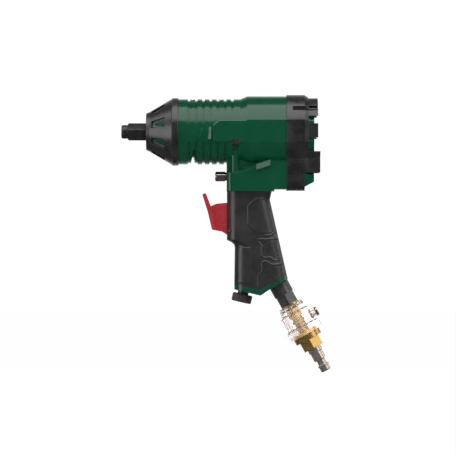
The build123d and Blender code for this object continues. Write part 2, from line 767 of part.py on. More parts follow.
with BuildPart() as nose_bumper:
    turned(drive, [
        (boss_radius + slip, nose_x), (nose_face_radius, nose_x), (nose_face_radius + 1.5, nose_x + 3.5),
        (barrel_radius + 0.3, chamber_x), (nose_radius - 0.25, chamber_x + 0.4),
        (nose_radius, chamber_x + 1.2),
        (nose_radius, nose_end_x - 0.4), (nose_radius - 0.4, nose_end_x), (nose_seat_radius, nose_end_x),
        (nose_seat_radius, chamber_x), (nose_seat_radius - 0.5, chamber_x - 0.8),
        (cone_front_radius, nose_x + nose_wall), (boss_radius + slip, nose_x + nose_wall),
    ])
    slope_run = chamber_x - nose_x - 3.5
    slope_rise = barrel_radius + 0.3 - nose_face_radius - 1.5
    slope = sqrt(slope_run**2 + slope_rise**2)
    pocket_x = nose_x + 3.5 + slope_run * 0.37
    pocket_r = nose_face_radius + 1.5 + slope_rise * 0.37
    for k in range(8):
        turn = radians(pocket_turn + 45 * k)
        out_y = cos(turn)
        out_z = sin(turn)
        pocket = Plane(
            origin=(pocket_x, pocket_r * out_y, pocket_r * out_z),
            x_dir=(slope_run, slope_rise * out_y, slope_rise * out_z),
            z_dir=(-slope_rise, slope_run * out_y, slope_run * out_z),
        )
        with BuildSketch(pocket.offset(-pocket_depth)):
            with BuildLine():
                Polyline((-7.2, -3.4), (7.2, -5.2), (7.2, 5.2), (-7.2, 3.4), close=True)
            make_face()
        extrude(amount=6, mode=Mode.SUBTRACT)

# ---------------------------------------------------------------- rear cap, gasket and bumper

with BuildPart() as rear_gasket:
    outline_slab(casing_end_x, gasket_thickness, cap_grow)
    rod(x_plane(casing_end_x), motor_bore_radius, gasket_thickness, Mode.SUBTRACT)
    rod(x_plane(casing_end_x, 0, reverse_z), reverse_bushing_radius, gasket_thickness, Mode.SUBTRACT)
    for y, z in screw_places():
        rod(x_plane(casing_end_x, y, z), screw_radius + slip, gasket_thickness, Mode.SUBTRACT)

with BuildPart() as rear_cap:
    outline_slab(cap_x, cap_depth, cap_grow)
    outline_slab(cap_x + cap_depth, cap_crown, cap_grow, taper=28)
    rod(x_plane(plates_end_x), motor_bore_radius - slip, cap_x - plates_end_x)
    rod(x_plane(plates_end_x), motor_bore_radius - 4, cap_x - plates_end_x + 6, Mode.SUBTRACT)
    for y, z in screw_places():
        rod(x_plane(cap_x, y, z), screw_radius + slip, screw_seat, Mode.SUBTRACT)
        rod(x_plane(cap_x + screw_seat, y, z), screw_head_radius + 0.4, 30, Mode.SUBTRACT)
    rod(x_plane(cap_x, 0, reverse_z), reverse_radius + 2 * slip, 30, Mode.SUBTRACT)
    rod(x_plane(cap_x + 8, 0, reverse_z), reverse_button_radius + 0.3, 30, Mode.SUBTRACT)
    # Ribs across the cap's back
    with Locations(*[(cap_end_x, 0, z) for z in (-14, -7, 0, 7, 14)]):
        Box(2.4, 30, 2.4, mode=Mode.SUBTRACT)

with BuildPart() as rear_bumper:
    outline_slab(casing_end_x, bumper_collar, bumper_proud)
    collar_end_x = casing_end_x + bumper_collar
    outline_slab(collar_end_x, bumper_chamfer, bumper_proud, taper=32)
    outline_slab(collar_end_x + 1, bumper_chamfer - 1 + bumper_lobe_length, bumper_proud - lobe_inset)
    outline_slab(casing_end_x, gasket_thickness + cap_depth + 0.5, cap_grow, mode=Mode.SUBTRACT)
    outline_slab(cap_x + cap_depth, cap_crown + 1, cap_grow + 0.2, taper=28, mode=Mode.SUBTRACT)
    outline_slab(cap_x + cap_depth + 2, 40, cap_grow - 4.7, mode=Mode.SUBTRACT)
    # Windows between the lobes at the sides, at the top and round the block
    for window_z, window_height in bumper_windows:
        with Locations((collar_end_x + 3.5, 0, window_z)):
            Box(30, 100, window_height, align=(Align.MIN, Align.CENTER, Align.CENTER), mode=Mode.SUBTRACT)
    # The upper and middle lobes end a little before the lower ones
    with Locations((collar_end_x + bumper_chamfer + bumper_lobe_length - lobe_step, 0, -10)):
        Box(30, 100, 60, align=(Align.MIN, Align.CENTER, Align.MIN), mode=Mode.SUBTRACT)
    with Locations((collar_end_x + 3.5, 0, 40)):
        Box(30, 16, 40, align=(Align.MIN, Align.CENTER, Align.CENTER), mode=Mode.SUBTRACT)
    with Locations((collar_end_x, 0, -39)):
        Box(30, 100, 40, align=(Align.MIN, Align.CENTER, Align.MAX), mode=Mode.SUBTRACT)
    # Deep slots in the flanks of the upper lobes
    with Locations(*[(casing_end_x + 5.5, side * 33, 21.5) for side in (1, -1)]):
        Box(23.7, 16, 4.2, align=(Align.MIN, Align.CENTER, Align.CENTER), mode=Mode.SUBTRACT)
    for y, z in screw_places():
        rod(x_plane(cap_x + screw_seat, y, z), screw_head_radius + 0.4, 40, Mode.SUBTRACT)

with BuildPart() as rear_cap_screws:
    for y, z in screw_places():
        seat_x = cap_x + screw_seat
        thread_x = casing_end_x - screw_length + 2
        rod(x_plane(thread_x, y, z), screw_radius, seat_x - thread_x)
        rod(x_plane(seat_x + washer_thickness, y, z), screw_head_radius, screw_head_height)
        rod(x_plane(seat_x, y, z), screw_radius, washer_thickness)
        prism(x_plane(seat_x + washer_thickness + screw_head_height, y, z), screw_socket, -2, Mode.SUBTRACT)

with BuildPart() as screw_washers:
    for y, z in screw_places():
        rod(x_plane(cap_x + screw_seat, y, z), screw_head_radius, washer_thickness)
        rod(x_plane(cap_x + screw_seat, y, z), screw_radius, washer_thickness, Mode.SUBTRACT)

# ---------------------------------------------------------------- reverse valve

reverse_line = x_plane(0, 0, reverse_z)
reverse_face_x = block_x - reverse_stand_off
reverse_bushing_x = block_x + reverse_travel
rear_button_x = cap_x + 8 + reverse_travel
spool_grooves = [(reverse_bushing_x + 5, 9), (reverse_bushing_x + 22, 9)]

with BuildPart() as reverse_bushing:
    rod(x_plane(reverse_bushing_x, 0, reverse_z), reverse_bushing_radius, casing_end_x - reverse_bushing_x)
    rod(x_plane(reverse_bushing_x, 0, reverse_z), reverse_radius + running, 60, Mode.SUBTRACT)
    rod(Plane.XY.offset(reverse_z - 10).move(Location((duct_x, 0, 0))), 2.5, 20, Mode.SUBTRACT)

with BuildPart() as reverse_spool:
    rod(x_plane(reverse_face_x - 5, 0, reverse_z), reverse_radius - 1.2, 5)
    rod(x_plane(reverse_face_x, 0, reverse_z), reverse_radius, rear_button_x - reverse_face_x)
    for groove_x, length in spool_grooves:
        with Locations(x_plane(groove_x, 0, reverse_z)):
            Cylinder(reverse_radius, length, align=from_plane, mode=Mode.SUBTRACT)
            Cylinder(reverse_radius - 1.3, length, align=from_plane)
    for seal_x in (reverse_bushing_x + 18, reverse_bushing_x + 38):
        seal_groove(reverse_line, seal_x, reverse_radius, seal_cord_radius)
    rod(x_plane(rear_button_x, 0, reverse_z), reverse_radius - 1.2, 5)

with BuildPart() as reverse_seals:
    for seal_x in (reverse_bushing_x + 18, reverse_bushing_x + 38):
        seal_ring(reverse_line, seal_x, reverse_radius - 2 * seal_cord_radius, seal_cord_radius)

with BuildPart() as reverse_front_button:
    rod(x_plane(reverse_face_x, 0, reverse_z), reverse_button_radius, -reverse_button_length)
    fillet(faces().sort_by(Axis.X)[0].edges(), 1.4)
    rod(x_plane(reverse_face_x - 5, 0, reverse_z), reverse_radius - 1.2, 5, Mode.SUBTRACT)

with BuildPart() as reverse_rear_button:
    rod(x_plane(rear_button_x, 0, reverse_z), reverse_button_radius, reverse_button_length)
    fillet(faces().sort_by(Axis.X)[-1].edges(), 1.4)
    rod(x_plane(rear_button_x, 0, reverse_z), reverse_radius - 1.2, 5, Mode.SUBTRACT)

# ---------------------------------------------------------------- trigger and throttle

with BuildPart() as trigger:
    # Side view of the trigger, measured from its pivot
    with BuildSketch(trigger_pivot):
        with BuildLine():
            Polyline(
                (-23.4, 36), (-18.5, 23.3), (-13.5, 25.6), (-3.8, 26.5), (-0.2, 26.3), (-0.2, 19),
                (-3, 17.5), (-3, 12), (1.5, 4), (1.5, -3.8), (-3.4, -3.8), (-7.6, -0.9), (-17.4, 1),
                (-21.4, 17.8), (-26.6, 34.4), close=True,
            )
        make_face()
    extrude(amount=trigger_half_width, both=True)
    rod(trigger_pivot.offset(-trigger_half_width), 4, 2 * trigger_half_width)
    with Locations(trigger_pivot.offset(-trigger_half_width)):
        with Locations((-3, stem_height)):
            Cylinder(2, 2 * trigger_half_width, align=from_plane)
    # Wider finger paddle
    with BuildSketch(trigger_pivot):
        with BuildLine():
            Polyline(
                (-23.4, 36), (-18.5, 23.3), (-14.4, 2.8), (-17.4, 1), (-21.4, 17.8), (-26.6, 34.4),
                close=True,
            )
        make_face()
    extrude(amount=paddle_half_width, both=True)
    fillet(edges().group_by(Axis.Z)[-1], 1)
    for side in (1, -1):
        with Locations(trigger_pivot.offset(side * trigger_half_width)):
            with Locations((-6.6, 14.2)):
                Cylinder(8.6, 2 * trigger_recess, mode=Mode.SUBTRACT)
    rod(trigger_pivot.offset(-30), trigger_pin_radius + running, 60, Mode.SUBTRACT)

with BuildPart() as trigger_pin:
    rod(trigger_pivot.offset(-trigger_pin_half_length), trigger_pin_radius, 2 * trigger_pin_half_length)

stem_x = handle_x + trigger_pivot_x - 3 + 2 + stem_gap
valve_x = slot_back_x + throttle_bushing_length + play

with BuildPart() as throttle_bushing:
    rod(throttle, throttle_bore_radius, throttle_bushing_length)
    rod(throttle, stem_radius + running, throttle_bushing_length, Mode.SUBTRACT)
    rod(throttle.offset(throttle_bushing_length - 3), 3.6, 3, Mode.SUBTRACT)

with BuildPart() as throttle_stem:
    rod(x_plane(stem_x, 0, stem_z), stem_radius, valve_x + valve_thickness - stem_x)
    fillet(faces().sort_by(Axis.X)[0].edges(), 0.8)

with BuildPart() as throttle_valve:
    rod(x_plane(valve_x, 0, stem_z), valve_radius, valve_thickness)
    rod(x_plane(valve_x, 0, stem_z), stem_radius, valve_thickness, Mode.SUBTRACT)

with BuildPart() as throttle_spring:
    spring_start_x = valve_x + valve_thickness + spring_wire
    chamber_end_x = slot_back_x + throttle_bushing_length + throttle_chamber_length
    spring_length = chamber_end_x - spring_start_x - spring_wire
    with BuildLine() as coil:
        Helix(spring_length / spring_turns, spring_length, spring_radius,
              center=(spring_start_x, 0, stem_z), direction=(1, 0, 0))
    with BuildSketch(Plane(origin=coil.line @ 0, z_dir=coil.line % 0)):
        Circle(spring_wire)
    sweep(path=coil.line, is_frenet=True)

# ---------------------------------------------------------------- regulator

with BuildPart() as regulator_spool:
    rod(regulator.offset(-regulator_length + 1), regulator_radius, regulator_length - 1)
    rod(regulator, regulator_neck_radius, regulator_neck)
    rod(regulator.offset(regulator_neck), 3, knob_height - 3)
    seal_groove(regulator, -6, regulator_radius, seal_cord_radius)
    with Locations(regulator.offset(-17)):
        Box(4, 20, 5, align=(Align.MIN, Align.CENTER, Align.CENTER), mode=Mode.SUBTRACT)

with BuildPart() as regulator_seal:
    seal_ring(regulator, -6, regulator_radius - 2 * seal_cord_radius, seal_cord_radius)

with BuildPart() as regulator_knob:
    rod(regulator.offset(regulator_neck), knob_radius, knob_height)
    chamfer(edges().filter_by(GeomType.CIRCLE), 0.8)
    with Locations(regulator.offset(regulator_neck)):
        with PolarLocations(knob_radius + 0.2, knob_teeth):
            Cylinder(knob_tooth_radius, knob_height, align=from_plane, mode=Mode.SUBTRACT)
    rod(regulator.offset(regulator_neck), 3, knob_height - 3, Mode.SUBTRACT)

# ---------------------------------------------------------------- exhaust

screen_z = foot_point(exhaust_x, foot_rim)[1] + 1

with BuildPart() as exhaust_muffler:
    with Locations((handle_x + exhaust_x, 0, screen_z + screen_thickness)):
        Box(exhaust_length, exhaust_width, exhaust_depth - 1 - screen_thickness, align=from_plane)

with BuildPart() as exhaust_screen:
    with Locations((handle_x + exhaust_x, 0, screen_z)):
        Box(exhaust_length, exhaust_width, screen_thickness, align=from_plane)
        with GridLocations(2.4, 1, 4, 1):
            Box(1.2, exhaust_width - 3, 10, mode=Mode.SUBTRACT)

# ---------------------------------------------------------------- inlet bushing and strainer

with BuildPart() as inlet_bushing:
    turned(inlet, [
        (inlet_bore_radius, -inlet_thread_depth + slip), (inlet_thread_radius, -inlet_thread_depth + slip),
        (inlet_thread_radius, 0), (inlet_collar_radius - 0.5, 0), (inlet_collar_radius, 0.5),
        (inlet_collar_radius, inlet_collar_end), (inlet_bore_radius, inlet_collar_end),
    ])
    prism(inlet.offset(inlet_collar_end), inlet_hex, inlet_hex_end - inlet_collar_end)
    rod(inlet.offset(inlet_collar_end), inlet_bore_radius, 20, Mode.SUBTRACT)
    rod(inlet.offset(oiler_start), oiler_thread_radius, 20, Mode.SUBTRACT)

with BuildPart() as inlet_strainer:
    rod(inlet.offset(-8), inlet_bore_radius - slip, oiler_start + 8)
    rod(inlet.offset(-7), inlet_bore_radius - 0.6, 30, Mode.SUBTRACT)

# ---------------------------------------------------------------- oiler

with BuildPart() as oiler_head:
    turned(inlet, [
        (oiler_bore_radius, oiler_start), (oiler_thread_radius, oiler_start),
        (oiler_thread_radius, inlet_hex_end), (oiler_neck_radius + 2, inlet_hex_end),
        (oiler_neck_radius + 2, bowl_start), (oiler_head_radius, bowl_start),
        (oiler_head_radius, oiler_head_end), (oiler_bore_radius, oiler_head_end),
    ])

with BuildPart() as oiler_bowl:
    turned(inlet, [
        (oiler_head_radius + slip, bowl_start), (bowl_neck_radius, bowl_start),
        (bowl_shoulder_radius, bowl_shoulder_end), (bowl_shoulder_radius - 1, bowl_shoulder_end + 0.5),
        (bowl_radius, bowl_body_start),
        (bowl_radius, bowl_body_end), (bowl_collar_radius, bowl_collar_start), (bowl_collar_radius, bowl_end),
        (bowl_radius - bowl_wall, bowl_end), (bowl_radius - bowl_wall, 32),
        (bowl_shoulder_radius - bowl_wall, 27), (oiler_head_radius + slip, 25.6),
    ])
    seal_ring(inlet, bowl_start + 1.5, oiler_head_radius, bowl_seal_radius, Mode.SUBTRACT)
    fill_line = inlet.offset(fill_station)
    fill = Plane(origin=fill_line.origin, x_dir=fill_line.z_dir, z_dir=fill_line.z_dir.cross(fill_line.x_dir))
    rod(fill.offset(bowl_radius - 1.5), fill_boss_radius, fill_boss_reach + 1.5)
    rod(fill.offset(bowl_radius - 4), fill_screw_radius, 12, Mode.SUBTRACT)

with BuildPart() as oiler_fill_screw:
    rod(fill.offset(bowl_radius - 1), fill_screw_radius, fill_boss_reach + 1)
    rod(fill.offset(bowl_radius + fill_boss_reach + 0.8), fill_boss_radius - 0.8, 1.6)
    rod(fill.offset(bowl_radius + fill_boss_reach), fill_screw_radius, 0.8)
    with Locations(fill.offset(bowl_radius + fill_boss_reach + 2.4)):
        Box(12, 1.1, 1.6, mode=Mode.SUBTRACT)

with BuildPart() as fill_screw_seal:
    rod(fill.offset(bowl_radius + fill_boss_reach), fill_boss_radius - 0.6, 0.8)
    rod(fill.offset(bowl_radius + fill_boss_reach), fill_screw_radius, 0.8, Mode.SUBTRACT)

with BuildPart() as oiler_base:
    turned(inlet, [
        (plug_thread_radius, plug_start), (oiler_bore_radius, plug_start),
        (oiler_bore_radius, oiler_head_end), (oiler_tube_radius, oiler_head_end),
        (oiler_tube_radius, bowl_end - 3), (bowl_radius - bowl_wall - slip, bowl_end - 3),
        (bowl_radius - bowl_wall - slip, bowl_end), (oiler_flange_radius, bowl_end),
        (oiler_flange_radius, oiler_flange_end), (plug_thread_radius, oiler_flange_end),
    ])
    prism(inlet.offset(oiler_flange_end), oiler_hex, oiler_hex_end - oiler_flange_end)
    rod(inlet.offset(oiler_flange_end), plug_thread_radius, 20, Mode.SUBTRACT)
    rod(fill.offset(-oiler_tube_radius - 1), wick_radius, 2 * oiler_tube_radius + 2, Mode.SUBTRACT)

with BuildPart() as oiler_seal:
    seal_ring(inlet, bowl_start + 1.5, oiler_head_radius, bowl_seal_radius)

with BuildPart() as oiler_wick:
    rod(fill.offset(-oiler_tube_radius - 1), wick_radius, 2 * oiler_tube_radius + 2)

# ---------------------------------------------------------------- air plug

with BuildPart() as air_plug:
    turned(inlet, [
        (plug_bore_radius, plug_start), (plug_thread_radius, plug_start),
        (plug_thread_radius, oiler_hex_end), (plug_shoulder_radius, oiler_hex_end),
        (plug_shoulder_radius, plug_shoulder_end - 0.6), (plug_shoulder_radius - 0.6, plug_shoulder_end),
        (plug_collar_radius, plug_shoulder_end), (plug_collar_radius, plug_collar_end - 0.8),
        (plug_groove_radius, plug_collar_end), (plug_groove_radius, plug_groove_end),
        (plug_ring_radius, plug_groove_end + 0.6), (plug_ring_radius, plug_ring_end - 0.4),
        (plug_tip_radius, plug_ring_end), (plug_tip_radius, plug_end - 0.6),
        (plug_tip_radius - 0.6, plug_end), (plug_bore_radius, plug_end),
    ])

# ---------------------------------------------------------------- output

pieces = {
    "anvil": anvil,
    "anvil_retaining_ring": anvil_retaining_ring,
    "anvil_ring_seal": anvil_ring_seal,
    "anvil_bushing": anvil_bushing,
    "nose_bumper": nose_bumper,
    "hammer_cage": hammer_cage,
    "hammer_pins": hammer_pins,
    "front_hammer_dog": front_hammer_dog,
    "rear_hammer_dog": rear_hammer_dog,
    "rotor": rotor,
    "rotor_vanes": rotor_vanes,
    "cylinder": cylinder,
    "cylinder_dowel": cylinder_dowel,
    "front_end_plate": front_end_plate,
    "rear_end_plate": rear_end_plate,
    "front_bearing_outer_ring": front_bearing_outer_ring,
    "front_bearing_inner_ring": front_bearing_inner_ring,
    "front_bearing_balls": front_bearing_balls,
    "rear_bearing_outer_ring": rear_bearing_outer_ring,
    "rear_bearing_inner_ring": rear_bearing_inner_ring,
    "rear_bearing_balls": rear_bearing_balls,
    "motor_housing": motor_housing,
    "grip_sleeve": grip_sleeve,
    "rear_gasket": rear_gasket,
    "rear_cap": rear_cap,
    "rear_bumper": rear_bumper,
    "rear_cap_screws": rear_cap_screws,
    "screw_washers": screw_washers,
    "reverse_bushing": reverse_bushing,
    "reverse_spool": reverse_spool,
    "reverse_seals": reverse_seals,
    "reverse_front_button": reverse_front_button,
    "reverse_rear_button": reverse_rear_button,
    "trigger": trigger,
    "trigger_pin": trigger_pin,
    "throttle_bushing": throttle_bushing,
    "throttle_stem": throttle_stem,
    "throttle_valve": throttle_valve,
    "throttle_spring": throttle_spring,
    "regulator_spool": regulator_spool,
    "regulator_seal": regulator_seal,
    "regulator_knob": regulator_knob,
    "exhaust_muffler": exhaust_muffler,
    "exhaust_screen": exhaust_screen,
    "inlet_bushing": inlet_bushing,
    "inlet_strainer": inlet_strainer,
    "oiler_head": oiler_head,
    "oiler_bowl": oiler_bowl,
    "oiler_base": oiler_base,
    "oiler_seal": oiler_seal,
    "oiler_wick": oiler_wick,
    "oiler_fill_screw": oiler_fill_screw,
    "fill_screw_seal": fill_screw_seal,
    "air_plug": air_plug,
}

for node_name, piece in pieces.items():
    piece.part.label = node_name
    export_step(piece.part, f"parts/{node_name}.step")
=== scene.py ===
"""Looks of a half-inch pneumatic impact wrench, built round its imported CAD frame.

X runs along the drive line from the anvil's tip to the rear, Z is up and Y is across the tool.
Sizes in this file are millimetres until mm() turns them to Blender's metres.
"""

from __future__ import annotations

import json
import logging
import math
from dataclasses import dataclass
from enum import Enum
from typing import Any, Sequence

import bmesh
import bpy
import numpy as np
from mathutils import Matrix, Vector

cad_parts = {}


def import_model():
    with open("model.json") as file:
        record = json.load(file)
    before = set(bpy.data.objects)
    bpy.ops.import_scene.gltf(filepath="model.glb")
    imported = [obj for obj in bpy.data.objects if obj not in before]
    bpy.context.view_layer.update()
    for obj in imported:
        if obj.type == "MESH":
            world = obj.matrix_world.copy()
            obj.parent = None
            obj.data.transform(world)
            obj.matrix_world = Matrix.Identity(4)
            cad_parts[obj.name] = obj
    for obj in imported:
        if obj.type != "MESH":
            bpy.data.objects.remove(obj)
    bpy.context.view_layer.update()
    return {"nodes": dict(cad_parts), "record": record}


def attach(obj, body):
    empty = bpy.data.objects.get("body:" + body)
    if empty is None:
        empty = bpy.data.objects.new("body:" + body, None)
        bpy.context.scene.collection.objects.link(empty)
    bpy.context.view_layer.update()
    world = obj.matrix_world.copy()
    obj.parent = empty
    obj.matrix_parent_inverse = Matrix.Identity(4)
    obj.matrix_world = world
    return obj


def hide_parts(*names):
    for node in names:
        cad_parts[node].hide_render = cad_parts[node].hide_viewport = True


LOG = logging.getLogger("impact_wrench")
CASING = "casing"

# Points closer than this, in millimetres, are one point
MERGE_DISTANCE = 0.001
# How well the rounded and the true normal agree where the lightened edge, part wear and part painted
# highlight, starts and where it is full
EDGE_WEAR_AND_HIGHLIGHT_STARTS = 0.995
EDGE_WEAR_AND_HIGHLIGHT_FULL = 0.85

Point2 = tuple[float, float]


def mm(value: float) -> float:
    """Turn millimetres to metres."""
    return value * 0.001


def linear(hex_colour: str) -> tuple[float, float, float, float]:
    """Turn an sRGB hex colour to linear RGBA.

    Args:
        hex_colour: a colour such as "#1a2b3c".

    Returns:
        The colour as Blender's sockets want it, with an alpha of 1.
    """
    channels = [int(hex_colour[i:i + 2], 16) / 255 for i in (1, 3, 5)]
    red, green, blue = (
        c / 12.92 if c <= 0.04045 else ((c + 0.055) / 1.055) ** 2.4 for c in channels
    )
    return red, green, blue, 1.0


def add_node(tree: bpy.types.NodeTree, kind: str, inputs: dict[Any, Any] | None = None,
             **settings: Any) -> bpy.types.Node:
    """Add a node with its settings, and set or link its inputs.

    Args:
        tree: the node tree that gets the node.
        kind: the node's type name.
        inputs: input name or number to a value, or to an output socket that is linked to it.
        settings: the node's own properties.

    Returns:
        The new node.
    """
    node = tree.nodes.new(kind)
    for name, value in settings.items():
        setattr(node, name, value)
    for name, value in (inputs or {}).items():
        if isinstance(value, bpy.types.NodeSocket):
            tree.links.new(value, node.inputs[name])
        else:
            node.inputs[name].default_value = value
    return node


# ------------------------------------------------------------------ finishes


class Grain(Enum):
    """The mark that a making process leaves on a surface."""

    MOULDED = "moulded"
    CAST = "cast"
    TURNED = "turned"
    SMOOTH = "smooth"


@dataclass(frozen=True)
class Finish:
    """One opaque finish: what it is made of, what its making does to its colour and surface, and the
    lighter edges that are partly wear and partly a painted highlight.
    """

    name: str
    colour: str
    wear_and_highlight_tone: str
    roughness: float
    metallic: float = 0.0
    specular: float = 0.5
    grain: Grain = Grain.MOULDED
    grain_mm: float = 0.9
    grain_depth_mm: float = 0.02
    mottle_mm: float = 14.0
    mottle: float = 0.35
    spread: float = 0.06
    # edge_share: how far edges turn to the lighter tone, partly as wear and partly as a painted highlight
    edge_mm: float = 0.35
    edge_share: float = 0.5
    coat: float = 0.0
    coat_roughness: float = 0.1
    lathe_tilt: float = 0.0

    def material(self) -> bpy.types.Material:
        """Build the finish's node tree.

        Returns:
            A material that reads Object coordinates, so that it fits any piece.
        """
        found = bpy.data.materials.get(self.name)
        if found is not None:
            return found
        material = bpy.data.materials.new(self.name)
        material.use_nodes = True
        tree = material.node_tree
        tree.nodes.clear()
        coordinates = add_node(tree, "ShaderNodeTexCoord").outputs["Object"]
        across = self._grain_height(tree, coordinates)
        mottle = add_node(tree, "ShaderNodeTexNoise", {
            "Vector": coordinates, "Scale": 1 / mm(self.mottle_mm), "Detail": 4.0, "Roughness": 0.6,
        }).outputs["Fac"]
        rounded = add_node(tree, "ShaderNodeBevel", {"Radius": mm(self.edge_mm)}, samples=6)
        edge = self._edge_wear_and_highlight_share(tree, rounded.outputs["Normal"])
        patchy = add_node(tree, "ShaderNodeMapRange", {
            "Value": mottle, "From Min": 0.35, "From Max": 0.65, "To Min": 0.0, "To Max": self.mottle,
        }).outputs["Result"]
        base = add_node(tree, "ShaderNodeMix", {
            "Factor": patchy, "A": linear(self.colour), "B": linear(self.wear_and_highlight_tone),
        }, data_type="RGBA")
        # Edges turn to the lighter tone: partly wear, partly a painted highlight along the edges
        colour = add_node(tree, "ShaderNodeMix", {
            "Factor": edge, "A": base.outputs["Result"], "B": linear(self.wear_and_highlight_tone),
        }, data_type="RGBA")
        sheen = add_node(tree, "ShaderNodeMapRange", {
            "Value": mottle, "From Min": 0.3, "From Max": 0.7,
            "To Min": max(self.roughness - self.spread, 0.02), "To Max": self.roughness + self.spread,
        }).outputs["Result"]
        bump = add_node(tree, "ShaderNodeBump", {
            "Height": across, "Distance": mm(self.grain_depth_mm), "Normal": rounded.outputs["Normal"],
        })
        shader = add_node(tree, "ShaderNodeBsdfPrincipled", {
            "Base Color": colour.outputs["Result"], "Roughness": sheen, "Metallic": self.metallic,
            "Specular IOR Level": self.specular, "Normal": bump.outputs["Normal"],
            "Coat Weight": self.coat, "Coat Roughness": self.coat_roughness,
        })
        add_node(tree, "ShaderNodeOutputMaterial", {"Surface": shader.outputs["BSDF"]})
        return material

    def _grain_height(self, tree: bpy.types.NodeTree, coordinates: bpy.types.NodeSocket
                      ) -> bpy.types.NodeSocket:
        """Make the height pattern of the finish's grain.

        Args:
            tree: the material's node tree.
            coordinates: the socket with the object's coordinates.

        Returns:
            The socket with a height from 0 to 1.
        """
        # A lathe leaves rings round its axis, so their pattern is drawn out across that axis
        stretch = (1.0, 0.04, 0.04) if self.grain is Grain.TURNED else (1.0, 1.0, 1.0)
        placed = add_node(tree, "ShaderNodeMapping", {
            "Vector": coordinates, "Rotation": (0.0, math.radians(self.lathe_tilt), 0.0), "Scale": stretch,
        }).outputs["Vector"]
        detail = 8.0 if self.grain is Grain.CAST else 2.0
        return add_node(tree, "ShaderNodeTexNoise", {
            "Vector": placed, "Scale": 1 / mm(self.grain_mm), "Detail": detail, "Roughness": 0.55,
        }).outputs["Fac"]

    def _edge_wear_and_highlight_share(self, tree: bpy.types.NodeTree, rounded: bpy.types.NodeSocket
                    ) -> bpy.types.NodeSocket:
        """Find how far a point lies on a lightened edge, which is partly wear and partly a painted
        highlight.

        Args:
            tree: the material's node tree.
            rounded: the socket with the normal of the rounded surface.

        Returns:
            The socket with a share from 0 to edge_share.
        """
        true_normal = add_node(tree, "ShaderNodeNewGeometry").outputs["Normal"]
        match = add_node(tree, "ShaderNodeVectorMath", {0: rounded, 1: true_normal},
                         operation="DOT_PRODUCT").outputs["Value"]
        return add_node(tree, "ShaderNodeMapRange", {
            "Value": match, "From Min": EDGE_WEAR_AND_HIGHLIGHT_STARTS, "From Max": EDGE_WEAR_AND_HIGHLIGHT_FULL,
            "To Min": 0.0, "To Max": self.edge_share,
        }).outputs["Result"]


@dataclass(frozen=True)
class ClearFinish:
    """A clear moulded plastic, with the faint haze of its mould and of the oil in it."""

    name: str
    colour: str
    roughness: float
    ior: float
    haze_mm: float = 4.0

    def material(self) -> bpy.types.Material:
        """Build the node tree of the clear finish.

        Returns:
            A material that lets light through.
        """
        found = bpy.data.materials.get(self.name)
        if found is not None:
            return found
        material = bpy.data.materials.new(self.name)
        material.use_nodes = True
        tree = material.node_tree
        tree.nodes.clear()
        coordinates = add_node(tree, "ShaderNodeTexCoord").outputs["Object"]
        haze = add_node(tree, "ShaderNodeTexNoise", {
            "Vector": coordinates, "Scale": 1 / mm(self.haze_mm), "Detail": 3.0,
        }).outputs["Fac"]
        roughness = add_node(tree, "ShaderNodeMapRange", {
            "Value": haze, "From Min": 0.3, "From Max": 0.7,
            "To Min": self.roughness * 0.5, "To Max": self.roughness * 1.5,
        }).outputs["Result"]
        bump = add_node(tree, "ShaderNodeBump", {"Height": haze, "Distance": mm(0.06)})
        shader = add_node(tree, "ShaderNodeBsdfPrincipled", {
            "Base Color": linear(self.colour), "Roughness": roughness, "IOR": self.ior,
            "Transmission Weight": 0.94, "Normal": bump.outputs["Normal"],
        })
        add_node(tree, "ShaderNodeOutputMaterial", {"Surface": shader.outputs["BSDF"]})
        return material


# Satin enamel over sandblasted cast aluminium: the casting's skin shows as a faint orange peel; its edges
# are lighter, partly wear and partly a painted highlight
GREEN_ENAMEL = Finish("satin_enamel_on_cast_aluminium", "#003823", "#0c6040", 0.19, specular=0.42,
                      grain=Grain.CAST, grain_mm=1.4, grain_depth_mm=0.006,
                      mottle=0.06, spread=0.03, edge_mm=0.5,
                      edge_share=0.6)
# Thermoplastic rubber from a spark-eroded mould: dull, its edges a little lighter, partly where hands rub
# it and partly a painted highlight
BUMPER_RUBBER = Finish("moulded_thermoplastic_rubber", "#141415", "#484949", 0.30, specular=0.6,
                       grain_mm=0.8, grain_depth_mm=0.01, mottle=0.15, edge_mm=0.5, edge_share=0.6)
GRIP_RUBBER = Finish("overmoulded_grip_rubber", "#1c1c1c", "#454443", 0.36, specular=0.55,
                     grain_mm=0.6, grain_depth_mm=0.012, mottle=0.15, edge_mm=0.3, edge_share=0.8)
# Manganese phosphate on forged steel: near black, oiled, its edges greyer, partly where a socket rubs and
# partly a painted highlight
PHOSPHATED_STEEL = Finish("phosphated_chrome_molybdenum_steel", "#26262a", "#5a5a5c", 0.42, 0.75,
                          grain=Grain.TURNED, grain_mm=0.5, grain_depth_mm=0.01, mottle=0.4,
                          edge_share=0.8)
GROUND_STEEL = Finish("ground_bearing_steel", "#9a9a9b", "#c4c4c4", 0.24, 1.0, grain=Grain.TURNED,
                      grain_mm=0.3, grain_depth_mm=0.004)
HARDENED_STEEL = Finish("hardened_tool_steel", "#6f6e6d", "#a2a09d", 0.34, 1.0, grain=Grain.TURNED,
                        grain_mm=0.4, grain_depth_mm=0.006)
CHROMED_STEEL = Finish("bright_chromed_steel", "#bdb7b1", "#dad6d2", 0.12, 1.0, grain=Grain.SMOOTH,
                       grain_mm=2.0, grain_depth_mm=0.002, spread=0.03, mottle=0.2)
ZINC_STEEL = Finish("zinc_plated_steel", "#a5a59f", "#d0cfca", 0.30, 1.0, grain=Grain.SMOOTH,
                    grain_mm=1.0, grain_depth_mm=0.004)
SINTERED_BRONZE = Finish("sintered_bearing_bronze", "#9a7444", "#c39a62", 0.38, 1.0, grain=Grain.TURNED,
                         grain_mm=0.4, grain_depth_mm=0.006)
